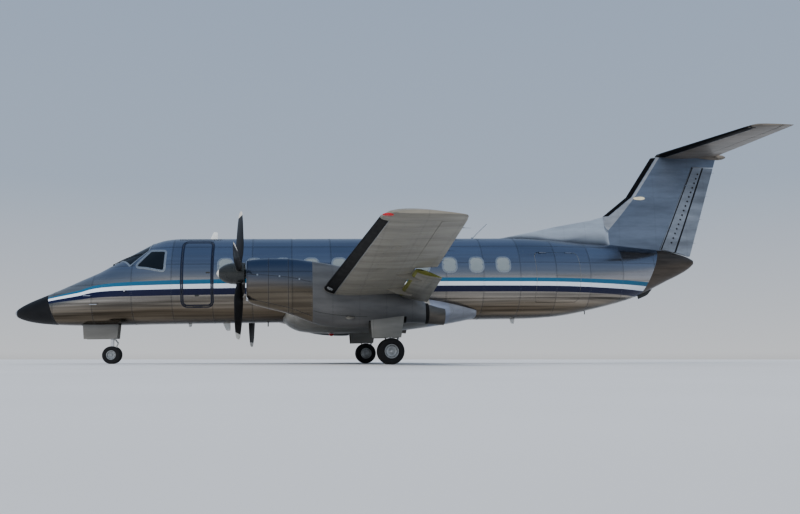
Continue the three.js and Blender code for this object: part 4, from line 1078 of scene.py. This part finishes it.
# ---------------------------------------------------------------- rows of rivets
def rivet_tree():
    """Small heads set out along edges, each standing along the attribute named outward."""
    tree = bpy.data.node_groups.new("rivet_rows", "GeometryNodeTree")
    socket = tree.interface.new_socket
    socket("Geometry", in_out="INPUT", socket_type="NodeSocketGeometry")
    for name in ("Head radius", "Head height", "Spacing"):
        socket(name, in_out="INPUT", socket_type="NodeSocketFloat")
    socket("Finish", in_out="INPUT", socket_type="NodeSocketMaterial")
    socket("Geometry", in_out="OUTPUT", socket_type="NodeSocketGeometry")
    given, out, curve, spread, head, place, way, turn, real, finish, crown = (tree.nodes.new(kind) for kind in (
        "NodeGroupInput", "NodeGroupOutput", "GeometryNodeMeshToCurve", "GeometryNodeResampleCurve",
        "GeometryNodeMeshCone", "GeometryNodeInstanceOnPoints", "GeometryNodeInputNamedAttribute",
        "FunctionNodeAlignRotationToVector", "GeometryNodeRealizeInstances", "GeometryNodeSetMaterial",
        "ShaderNodeMath"))
    spread.mode = "LENGTH"
    way.data_type = "FLOAT_VECTOR"
    way.inputs["Name"].default_value = "outward"
    turn.axis = "Z"
    crown.operation = "MULTIPLY"
    crown.inputs[1].default_value = 0.5
    head.inputs["Vertices"].default_value = 6
    for a, b in (
        (given.outputs["Geometry"], curve.inputs[0]), (curve.outputs[0], spread.inputs["Curve"]),
        (given.outputs["Spacing"], spread.inputs["Length"]),
        (given.outputs["Head radius"], head.inputs["Radius Bottom"]),
        (given.outputs["Head radius"], crown.inputs[0]), (crown.outputs[0], head.inputs["Radius Top"]),
        (given.outputs["Head height"], head.inputs["Depth"]), (spread.outputs[0], place.inputs["Points"]),
        (head.outputs["Mesh"], place.inputs["Instance"]), (way.outputs["Attribute"], turn.inputs["Vector"]),
        (turn.outputs[0], place.inputs["Rotation"]), (place.outputs[0], real.inputs[0]),
        (real.outputs[0], finish.inputs[0]), (given.outputs["Finish"], finish.inputs["Material"]),
        (finish.outputs[0], out.inputs[0]),
    ):
        tree.links.new(a, b)
    return tree


RIVETS = rivet_tree()


def rivet(name, body, rows, radius=0.006, height=0.0018, spacing=0.05):
    """A piece of small heads along rows of (point, outward direction) in aircraft axes."""
    verts, ways, edges = [], [], []
    for row in rows:
        edges += [(len(verts) + i, len(verts) + i + 1) for i in range(len(row) - 1)]
        verts += [p for p, _ in row]
        ways += [n for _, n in row]
    mesh = bpy.data.meshes.new(name)
    mesh.from_pydata([tuple(p) for p in to_row(verts)], edges, [])
    mesh.attributes.new("outward", "FLOAT_VECTOR", "POINT").data.foreach_set("vector", turned(ways).ravel())
    obj = bpy.data.objects.new(name, mesh)
    SCENE.collection.objects.link(obj)
    mod = obj.modifiers.new("rows", "NODES")
    mod.node_group = RIVETS
    values = {"Head radius": radius, "Head height": height, "Spacing": spacing, "Finish": M["rivet"]}
    for item in RIVETS.interface.items_tree:
        if item.in_out == "INPUT" and item.name in values:
            mod[item.identifier] = values[item.name]
    bpy.context.view_layer.update()
    real = bpy.data.meshes.new_from_object(obj.evaluated_get(bpy.context.evaluated_depsgraph_get()))
    obj.modifiers.clear()
    obj.data = real
    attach(obj, body)


def row_on(surface, points):
    return list(zip(points, outward(surface, points)))


def runs(rows, kept):
    """The stretches of two or more points of the rows at which kept is true."""
    out = []
    for row in rows:
        out.append([])
        for p, n in row:
            if kept(p):
                out[-1].append((p, n))
            elif out[-1]:
                out.append([])
    return [run for run in out if len(run) > 1]


def crossed(spans, parts, stations, across):
    """Lines over a wing or fin: along its span at each of the parts, then across it at each of the stations."""
    lines = [[(s, part) for s in spans] for part in parts]
    return [np.array(line) for line in lines + [[(s, part) for part in across] for s in stations]]


DOOR_MARGIN = 0.05
# Skin without rivets: first and last station, foot and top, and how far from the middle it reaches
BARE = ((2.4, 4.0, 0.1, 9, 9), (5.15, 13.1, 0.02, 0.56, 9), (6.8, 12.2, -9, -0.3, 9), (1.6, 2.8, -9, 0, 0.25),
        (3.9, 4.4, 1.0, 9, 9))


def body_part(p):
    """What the fuselage skin at a point belongs to: 0 plain skin, 1 passenger door, 2 cargo door, -1 cut away."""
    x, y, z = p
    for k, (x0, x1, z0, z1) in ((1, PASSENGER_DOOR), (2, CARGO_DOOR)):
        inside = min(x - x0, x1 - x, z - z0, z1 - z)
        if y < 0 and inside > -DOOR_MARGIN:
            return k if inside > DOOR_MARGIN else -1
    return -any(x0 < x < x1 and z0 < z < z1 and abs(y) < reach for x0, x1, z0, z1, reach in BARE)


skin_rows = []
for k in range(1, 17):
    for x in (SHEET_PITCH * k - 0.018, SHEET_PITCH * k + 0.018):
        middle, high, half = section(FUSELAGE, x)
        a = np.linspace(0, 2 * math.pi, 160)
        skin_rows.append(row_on(fuselage_surface,
                                np.stack([np.full(160, x), half * np.cos(a), middle + high * np.sin(a)], -1)))
for joint in (-1.06, -0.52, 0.02, 0.56, 1.1):
    for _, sign in SIDES:
        for z in (joint - 0.016, joint + 0.016):
            x = np.linspace(1.1, 17.0, 400)
            top, bottom = (curve_through(x, FUSELAGE[:, 0], FUSELAGE[:, j]) for j in (1, 2))
            x = x[(z < top - 0.03) & (z > bottom + 0.03)]
            skin_rows.append(row_on(fuselage_surface, on_side(np.stack([x, np.full(len(x), z)], -1), sign)))
for k, body in enumerate(("airframe", "passenger_door", "cargo_door")):
    rivet(f"rivets_{body}", body, runs(skin_rows, lambda p: body_part(p) == k))

lines = crossed(np.linspace(1.5, 9.55, 60), (0.13, 0.3, 0.32, 0.5, 0.64), np.arange(1.7, 9.6, 0.62),
                np.linspace(0.14, 0.66, 16))
for side, sign in SIDES:
    rows = [row_on(wing_surface, np.array([wing_point(y, part, face, sign=sign) for y, part in line]))
            for face in (-1, 1) for line in lines]
    rows = runs(rows, lambda p: abs(abs(p[1]) - NACELLE_Y) > 0.5)
    rivet(f"rivets_wing_{side}", "airframe", rows, spacing=0.06)

rows = []
for _, sign in SIDES:
    for z, part in (line.T for line in crossed(np.linspace(1.3, 3.4, 50), (0.12, 0.3, 0.48),
                                               np.arange(1.3, 3.45, 0.3), np.linspace(0.12, 0.56, 14))):
        lead, chord, _ = fin_frame(z)
        rows.append(row_on(fin_surface, fin_side(lead + part * chord, z, sign)))
rivet("rivets_fin", "airframe", rows, spacing=0.06)


# ---------------------------------------------------------------- small pieces that stand in the airflow
def plate(root, tip, lead, chord, thick, taper=0.5, sweep=0.3):
    """A small blade from root to tip; lead is the direction of flow along it."""
    root, tip, lead = (np.asarray(v, float) for v in (root, tip, lead))
    span = tip - root
    side = unit(np.cross(span, lead))
    rings = []
    for t in (0, 0.85, 1.0):
        c = chord * (1 - (1 - taper) * t) * (0.8 if t == 1.0 else 1)
        start = root + span * t + lead * (sweep * np.linalg.norm(span) * t)
        half = side * thick * (1 - 0.4 * t) / 2
        rings.append([start, start + lead * c * 0.3 + half, start + lead * c, start + lead * c * 0.3 - half])
    return rings_mesh(rings)


# The middle of the fuselage's top and of its underside, and how far out of the skin a place is
def roof(x, out=0.0):
    return np.array([x, 0, curve_through(x, FUSELAGE[:, 0], FUSELAGE[:, 1]) + out])


def belly(x, out=0.0):
    return np.array([x, 0, curve_through(x, FUSELAGE[:, 0], FUSELAGE[:, 2]) - out])


def dome(centre, size, sides=24):
    """Half a ball over a centre, with a size along each axis."""
    rings = []
    for a in np.linspace(0, 1, 10) * math.pi / 2:
        b, flat = around(sides), np.full(sides, np.sin(a))
        rings.append(np.stack([np.cos(a) * np.cos(b), np.cos(a) * np.sin(b), flat], -1) * size + centre)
    return rings_mesh(rings)


aerials = [plate(place(x, -0.01), place(x, high), AFT, *shape) for place, x, high, *shape in (
    (roof, 4.95, 0.2, 0.2, 0.03, 0.55, 0.45), (roof, 10.4, 0.2, 0.2, 0.03, 0.55, 0.45),
    (belly, 5.3, 0.2, 0.2, 0.03, 0.55, 0.45), (belly, 13.2, 0.13, 0.15, 0.02, 0.55, 0.3),
    (belly, 4.4, 0.08, 0.1, 0.015, 0.7, 0.1))]
verts, faces = lathe([(0, 0.012), (0.05, 0.012), (0.075, 0.004), (0.08, -0.01), (0, -0.01)], (0, 0, 0), "x", 24)
aerials.append(([(7.2 + y, z, 1.14 + x) for x, y, z in verts], faces))
add("aerial_blades", aerials, "white")
whip = [roof(12.2) + (0.38 * t + 0.06 * t * t, 0, 0.42 * t) for t in np.linspace(0, 1, 8)]
add("whip_aerial", [bar(roof(12.18, -0.01), roof(12.2, 0.05), 0.02, 0.012), pipe(whip, 0.009, 8)], "frame")
add("tail_skid_and_drains", [
    plate(belly(17.0, -0.02), belly(17.0, 0.1), (0.93, 0, 0.36), 0.5, 0.05, 0.6, 0.2),
    bar(belly(15.4, -0.02), belly(15.4, 0.09), 0.012), bar(belly(6.5, -0.02), belly(6.5, 0.1), 0.014)], "dark")

probes, wipers = [], []
for _, sign in SIDES:
    for x, z in ((2.05, -0.42), (2.2, -0.62)):
        root, out = (on_side([(x, z)], sign, high)[0] for high in (-0.01, 0.075))
        probes += [bar(root, out, 0.014, 0.009), pipe([out, out - (0.05, 0, 0), out - (0.17, 0, 0)], 0.009, 12)]
    root, out = (on_side([(2.9, -0.3)], sign, high)[0] for high in (-0.005, 0.03))
    probes += [bar(root, out, 0.03, 0.026), plate(out, out + (out - root) * 1.6, AFT, 0.07, 0.008, 0.5, 0.6)]
    pivot = on_top([(2.49, 0.2)], sign, 0.012)[0]
    arm = on_top([(2.49 + 0.09 * t, 0.2 + 0.042 * t) for t in range(8)], sign, 0.016)
    blade = on_top([(2.62 + 0.08 * t, 0.2 + 0.05 * t) for t in range(9)], sign, 0.014)
    wipers += [pipe(arm, 0.008, 8), pipe(blade, 0.007, 6)]
    wipers.append(bar(pivot - (0, 0, 0.03), pivot + (0, 0, 0.012), 0.02))
add("air_probes", probes, "chrome")
add("wipers", wipers, "hose")
add("belly_beacon", [dome((8.2, 0, -1.452), (0.075, 0.06, -0.075))], "red")
add("belly_beacon_base", [bar((8.2, 0, -1.44), (8.2, 0, -1.46), 0.09, 0.085, 28)], "frame")


# ---------------------------------------------------------------- trim of the wings and the tail
def wing_patch(sign, y0, y1, part0, part1, out, across=8, along=10):
    """A patch wrapped round the wing's nose, from part0 below to part1 above."""
    nose = 0.004  # the parts of the chord nearer the nose than this also stand forward
    verts = [wing_point(y, abs(q), math.copysign(1, q), out, sign) - (out * (abs(q) < nose), 0, 0)
             for y in np.linspace(y0, y1, across) for q in np.linspace(-part0, part1, along)]
    return verts, [[k, k + 1, k + along + 1, k + along]
                   for r in range(across - 1) for k in range(r * along, r * along + along - 1)]


def wing_cover(sign, y, part, half_y, half_x):
    """A dished cover with a sunk-looking rim, on the underside of the wing."""
    chord = wing_frame(y)[1]
    return rings_mesh([[
        wing_point(y + half_y * size * math.sin(a), part + half_x * size * math.cos(a) / chord, -1, out, sign)
        for a in around(28)]
        for size, out in ((1.0, -0.002), (1.0, 0.0022), (0.9, 0.0022), (0.87, 0.0006), (0.3, 0.0006))])


# Oval covers over the tanks and round inspection covers: distance along the span, part of the chord,
# and half their length along and across the span
COVERS = [(4.5, 0.4, 0.2, 0.12), (5.35, 0.4, 0.2, 0.12), (6.2, 0.4, 0.19, 0.115), (7.05, 0.4, 0.18, 0.105),
          (7.9, 0.4, 0.17, 0.1), (4.9, 0.6, 0.07, 0.07), (5.8, 0.6, 0.07, 0.07), (6.9, 0.58, 0.065, 0.065),
          (8.1, 0.58, 0.06, 0.06), (8.9, 0.5, 0.06, 0.06), (2.1, 0.42, 0.17, 0.11)]
for (side, sign), lens in zip(SIDES, ("red", "green")):
    add(f"landing_lamp_{side}", [wing_patch(sign, 4.0, 4.22, 0.06, 0.03, 0.005)], "lamp")
    lamp = [dome((8.66, sign * 9.8, 0.13), (0.11, 0.055, high)) for high in (0.03, -0.026)]
    add(f"tip_lamp_{side}", lamp, lens)
for side, sign in SIDES:
    add(f"wing_covers_{side}", [wing_cover(sign, *row) for row in COVERS], "wing")


def nose_strip(point, stations, depth, out, sign=1, under=-0.005, bend=0.012):
    """A strip round a nose; depth gives its reach in parts of the chord at a station.

    It lies from under to out over the skin, and in the bend at the nose it stands forward instead."""
    rings = []
    steps = np.linspace(-1, 1, 21)
    for s in stations:
        q = depth(s) * steps * np.abs(steps)
        ring = []
        for level, order in ((out, q), (under, q[::-1])):
            for part in order:
                wrap = min(1.0, math.sqrt(abs(part) / bend))
                place = np.array(point(s, abs(part), math.copysign(1, part), level * wrap), float)
                ring.append((place - (level * (1 - wrap), 0, 0)) * (1, sign, 1))
        rings.append(ring)
    return rings_mesh(rings)


def reach(frame_of, metres):
    """A length in metres as parts of the chord at each station."""
    return lambda s: metres / frame_of(s)[1]


# Rubber de-icing boots wrapped round the noses of the wings, tailplane and fin, with a bright edge behind
for layer, finish, out, extra in (("boot", "rubber", 0.0024, 0.0), ("boot_edge", "frame", 0.0012, 1.0)):
    for side, sign in SIDES:
        strips = [nose_strip(wing_point, span, lambda y: 0.1 + 0.007 * extra, out, sign)
                  for span in (np.linspace(3.78, 9.58, 24), np.linspace(1.62, 2.78, 8))]
        add(f"wing_{layer}_{side}", strips, finish)
        strip = nose_strip(tail_point, np.linspace(0.16, 3.3, 14), reach(tail_frame, 0.16 + 0.012 * extra), out, sign)
        add(f"tailplane_{layer}_{side}", [strip], finish)
    heights = np.unique(np.concatenate([np.linspace(1.78, 3.52, 14), FIN[3:5, 0] + 0.001]))
    add(f"fin_{layer}", [nose_strip(fin_point, heights, reach(fin_frame, 0.13 + 0.015 * extra), out)], finish)

# Vanes that stir the air over the forward rudder, a little nearer to its aft hinge
foot, top = (0.45 * forward[0] + 0.55 * after[0] for forward, after in zip(*RUDDER_HINGES))
vanes = []
for _, sign in SIDES:
    for t in np.linspace(0.06, 0.94, 16):
        x, z = foot * (1 - t) + top * t, 0.86 * (1 - t) + 3.18 * t
        root, tip, base, face = (fin_side(x, z, sign, out) for out in (SUNK, 0.03, -0.002, 0.003))
        vanes.append(plate(root, tip, (0.94, 0, 0.2), 0.07, 0.012, 0.7, 0.2))
        vanes.append(bar(base + (0.03, 0, 0.006), face + (0.03, 0, 0.006), 0.026, 0.024, 14))
add("rudder_vanes", vanes, "hose", "rudder_forward")


def wick(root, direction):
    """A thin wick that sheds static, on a thicker foot."""
    d = np.array(direction)
    return [bar(root - d * 0.02, root + d * 0.05, 0.006, 0.005, 8),
            bar(root + d * 0.05, root + d * 0.16, 0.0022, 0.0016, 6)]


for side, sign in SIDES:
    wicks = [w for y in (6.7, 7.5, 8.3, 9.1) for w in wick(wing_point(y, 0.995, 1, sign=sign), (1, 0, -0.04))]
    add(f"wicks_aileron_{side}", wicks, "hose", f"aileron_{side}")
wicks = [w for z in (1.0, 1.7, 2.4, 3.1) for w in wick(np.array([fin_trail(z) - 0.01, 0, z]), (0.6, 0, 0))]
add("wicks_rudder", wicks, "hose", "rudder_aft")


# ---------------------------------------------------------------- nacelles
def nacelle_point(x, angle, sign, out=0.0):
    """A point on a nacelle at an angle up from its outer side, and the direction out of the skin there."""
    middle, high, half = section(NACELLE, x)
    a = math.radians(angle)
    y, z = (math.copysign(abs(v) ** (2 / NACELLE_POWER), v) for v in (math.cos(a), math.sin(a)))
    p = np.array([x, half * y, middle + high * z])
    n = outward(tube_surface(NACELLE, NACELLE_POWER), p[None])[0]
    mirror = np.array([1, sign, 1])
    return (p + n * out) * mirror + (0, sign * NACELLE_Y, 0), n * mirror


def nacelle_line(sign, points, width=0.008, out=0.0012):
    """A dark joint line over the nacelle through (station, angle) points."""
    pts = [nacelle_point(x, a, sign, out) for x, a in points]
    rows = []
    for i, (p, n) in enumerate(pts):
        d = pts[min(i + 1, len(pts) - 1)][0] - pts[max(i - 1, 0)][0]
        s = unit(np.cross(n, d)) * width / 2
        rows.append([p + n * SUNK - s, p - s, p + s, p + n * SUNK + s])
    return rings_mesh(rows, "open")


INTAKE = rounded(-0.19, 0.19, -0.745, -0.545, 0.07)
LIP = ((-0.006, 0.06), (-0.004, 0.012), (0.002, -0.012), (0.016, -0.018), (0.03, -0.008), (0.036, 0.035))
COLLAR = [(0.2255, 10.252), (0.24, 10.262), (0.244, 10.3), (0.238, 10.33), (0.2325, 10.334)]
for side, sign in SIDES:
    y0 = sign * NACELLE_Y
    lines = crossed(np.linspace(6.12, 7.58, 24), (12, 168, -50, 230), (6.6, 7.05), np.linspace(-88, 268, 72))
    lines += crossed(np.linspace(7.62, 8.85, 14), (-35, 215), (), ())
    add(f"cowl_joints_{side}", [nacelle_line(sign, line) for line in lines], "seam")
    lines = crossed(np.linspace(6.15, 7.55, 30), (10, 14, 166, 170, -48, -52),
                    (6.58, 6.62, 7.03, 7.07, 7.57, 7.63, 8.25), np.linspace(-80, 260, 80))
    rivet(f"rivets_cowl_{side}", "airframe", [[nacelle_point(x, a, sign) for x, a in line] for line in lines],
          radius=0.005, spacing=0.045)
    places = [nacelle_point(x, a, sign, 0.001) for x in (6.35, 6.85, 7.3) for a in (12, 168)]
    latches = [bar(p + n * SUNK, p - n * SUNK, 0.022, 0.02, 16) for p, n in places]
    add(f"cowl_latches_{side}", latches, "frame")
    lip = [np.insert(grown(INTAKE, by) + (y0, 0), 0, 6.1 + dx, axis=1) for by, dx in LIP]
    add(f"intake_lip_{side}", [rings_mesh(lip, "open")], "chrome")
    add(f"exhaust_collar_{side}", [lathe(COLLAR, (0, y0, -1.118), "x", 48)], "soot")
    scoop = plate((8.35, y0 + sign * 0.36, -1.2), (8.35, y0 + sign * 0.46, -1.24), AFT, 0.22, 0.05, 0.7, 0.2)
    add(f"cooler_scoop_{side}", [scoop], "fairing")


# ---------------------------------------------------------------- undercarriage
def bars(foot, rows):
    """Bars from rows of both ends, as distances from a place, and then the sizes that bar takes."""
    return [bar(foot + a, foot + b, *sizes) for a, b, *sizes in rows]


# Places on a leg are distances aft of it, out from its middle and up from the fuselage centreline
HOSE = ((-0.09, 0.02, -1.0), (-0.1, 0.03, -1.25), (-0.1, 0.05, -1.5), (-0.12, 0.07, -1.65), (-0.1, 0.07, -1.8),
        (-0.07, 0.075, -1.93))
for side, sign in SIDES:
    leg, axle = np.array([MAIN_X, sign * NACELLE_Y, 0]), ground_at(MAIN_X) + MAIN_RADIUS
    add(f"main_piston_{side}", bars(leg, [((0, 0, -1.56), (0, 0, -1.86), 0.0562, None, 32)]), "chrome")
    add(f"brakes_{side}", bars(leg, [
        ((0, d * inner, axle), (0, d * outer, axle), r, None, 36)
        for d in (-1, 1) for inner, outer, r in ((0.066, 0.1, 0.115), (0.1, 0.108, 0.09))]), "dark")
    pins = [((x, -half, z), (x, half, z), r) for x, z, half, r in (
        (0.2, -1.68, 0.04, 0.014), (0.06, -1.53, 0.07, 0.016), (0.03, -1.93, 0.062, 0.016))]
    pins += [((0, 0, z0), (0, 0, z1), r, None, 32) for z0, z1, r in (
        (-1.5, -1.52, 0.098), (-1.12, -1.16, 0.09), (-1.36, -1.4, 0.09))]
    add(f"leg_pins_{side}", bars(leg, pins), "rim")
    hoses = [pipe([leg + np.array(p) * (1, d, 1) for p in HOSE], 0.008, 8) for d in (-1, 1)]
    add(f"brake_hoses_{side}", hoses, "hose")
    add(f"door_struts_{side}", bars(leg, [
        ((-0.1, d * 0.3, -1.28), (0, d * 0.05, -1.08), 0.012) for d in (-1, 1)]), "gear")

leg = np.array([NOSE_X, 0, 0])
for name, finish, body, rows in (
    ("nose_leg_bands", "rim", "airframe", [((0, 0, z), (0, 0, z - 0.04), 0.074, None, 32) for z in (-1.0, -1.2)]),
    ("taxi_lamps", "gear", "airframe", [
        ((-0.1, y, -1.1), (-0.17, y, -1.115), 0.03, 0.062, 28) for y in (-0.1, 0.1)]),
    ("taxi_lamp_glass", "lamp", "airframe", [
        ((-0.17, y, -1.115), (-0.178, y, -1.117), 0.06, 0.05, 28) for y in (-0.1, 0.1)]),
    ("taxi_lamp_arm", "gear", "airframe", [((0, -0.1, -1.08), (0, 0.1, -1.08), 0.014)] + [
        ((-0.01, y, -1.08), (-0.11, y, -1.1), 0.01) for y in (-0.1, 0.1)]),
    ("nose_piston", "chrome", "nose_fork", [((0, 0, -1.52), (0, 0, -1.8), 0.0492, None, 32)]),
):
    add(name, bars(leg, rows), finish, body)

# A cream plate on each side of the fin, drawn out to a point ahead
drop = np.array([(17.2 + 0.13 * math.cos(a) * (1.0 if math.cos(a) > 0 else 1.6), 2.3 + 0.05 * math.sin(a))
                 for a in around(24)])
mid = drop.mean(0)
for side, sign in SIDES:
    loops = [fin_side(*drop.T, sign, -0.003)]
    loops += [fin_side(*(mid + (drop - mid) * (1 - k / 3)).T, sign, 0.004) for k in range(3)]
    add(f"fin_cover_{side}", [filled(loops, fin_side(*mid, sign, 0.004))], "cream")

# ---------------------------------------------------------------- floor, light and camera
bpy.ops.mesh.primitive_plane_add(size=1600)
floor = bpy.context.object
floor.name = "floor"
floor.data.materials.append(plain("floor_pale", (0.6, 0.6, 0.6), 0.75, 0.0, 0.03, 0.6))
floor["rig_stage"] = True

# A soft studio surround: pale at the horizon, a little bluer overhead
SURROUND = ((0.0, (0.42, 0.4, 0.37)), (0.49, (0.6, 0.59, 0.57)), (0.503, (0.92, 0.94, 0.97)),
            (0.6, (0.58, 0.68, 0.83)), (1.0, (0.36, 0.5, 0.74)))
world = bpy.data.worlds.new("studio")
world.use_nodes = True
SCENE.world = world
sky = world.node_tree
shades = sky.nodes.new("ShaderNodeValToRGB")
link(sky, muladd(sky, axes_of(sky, node(sky, "TexCoord", out=0))[2], 0.5, 0.5), shades.inputs[0])
for _ in SURROUND[2:]:
    shades.color_ramp.elements.new(0.5)
for stop, (height, tint) in zip(shades.color_ramp.elements, SURROUND):
    stop.position, stop.color = height, (*tint, 1)
sky.links.new(shades.outputs[0], sky.nodes["Background"].inputs[0])
sky.nodes["Background"].inputs[1].default_value = 0.62


def aimed(name, data, place, aim):
    """A lamp or camera at a place, turned to another."""
    obj = bpy.data.objects.new(name, data)
    SCENE.collection.objects.link(obj)
    obj.location = place
    obj.rotation_euler = (Vector(aim) - Vector(place)).to_track_quat("-Z", "Y").to_euler()
    return obj


# Distant soft lights; the bare metal mirrors the surround alone
for name, place, power, colour, spread in (("key", (-16, -24, 26), 2.7, (1, 0.965, 0.92), 42),
                                           ("side", (22, -16, 12), 0.55, (0.92, 0.96, 1), 40),
                                           ("back", (6, 26, 18), 0.6, (1, 1, 1), 40)):
    data = bpy.data.lights.new(name, "SUN")
    data.energy, data.color, data.angle = power, colour, math.radians(spread)
    aimed(name, data, place, (0, 0, 0)).visible_glossy = False

AZIMUTH, DISTANCE, EYE = math.radians(-7.5), 23.0, 0.12
AIM = (0.15, 0, 2.95)
data = bpy.data.cameras.new("camera")
data.lens, data.sensor_width, data.clip_end = 37.4, 36, 800
eye = (AIM[0] + DISTANCE * math.sin(AZIMUTH), -DISTANCE * math.cos(AZIMUTH), EYE)
SCENE.camera = aimed("camera", data, eye, AIM)
SCENE.view_settings.view_transform = "AgX"
SCENE.view_settings.look = "AgX - Medium High Contrast"

low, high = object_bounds()
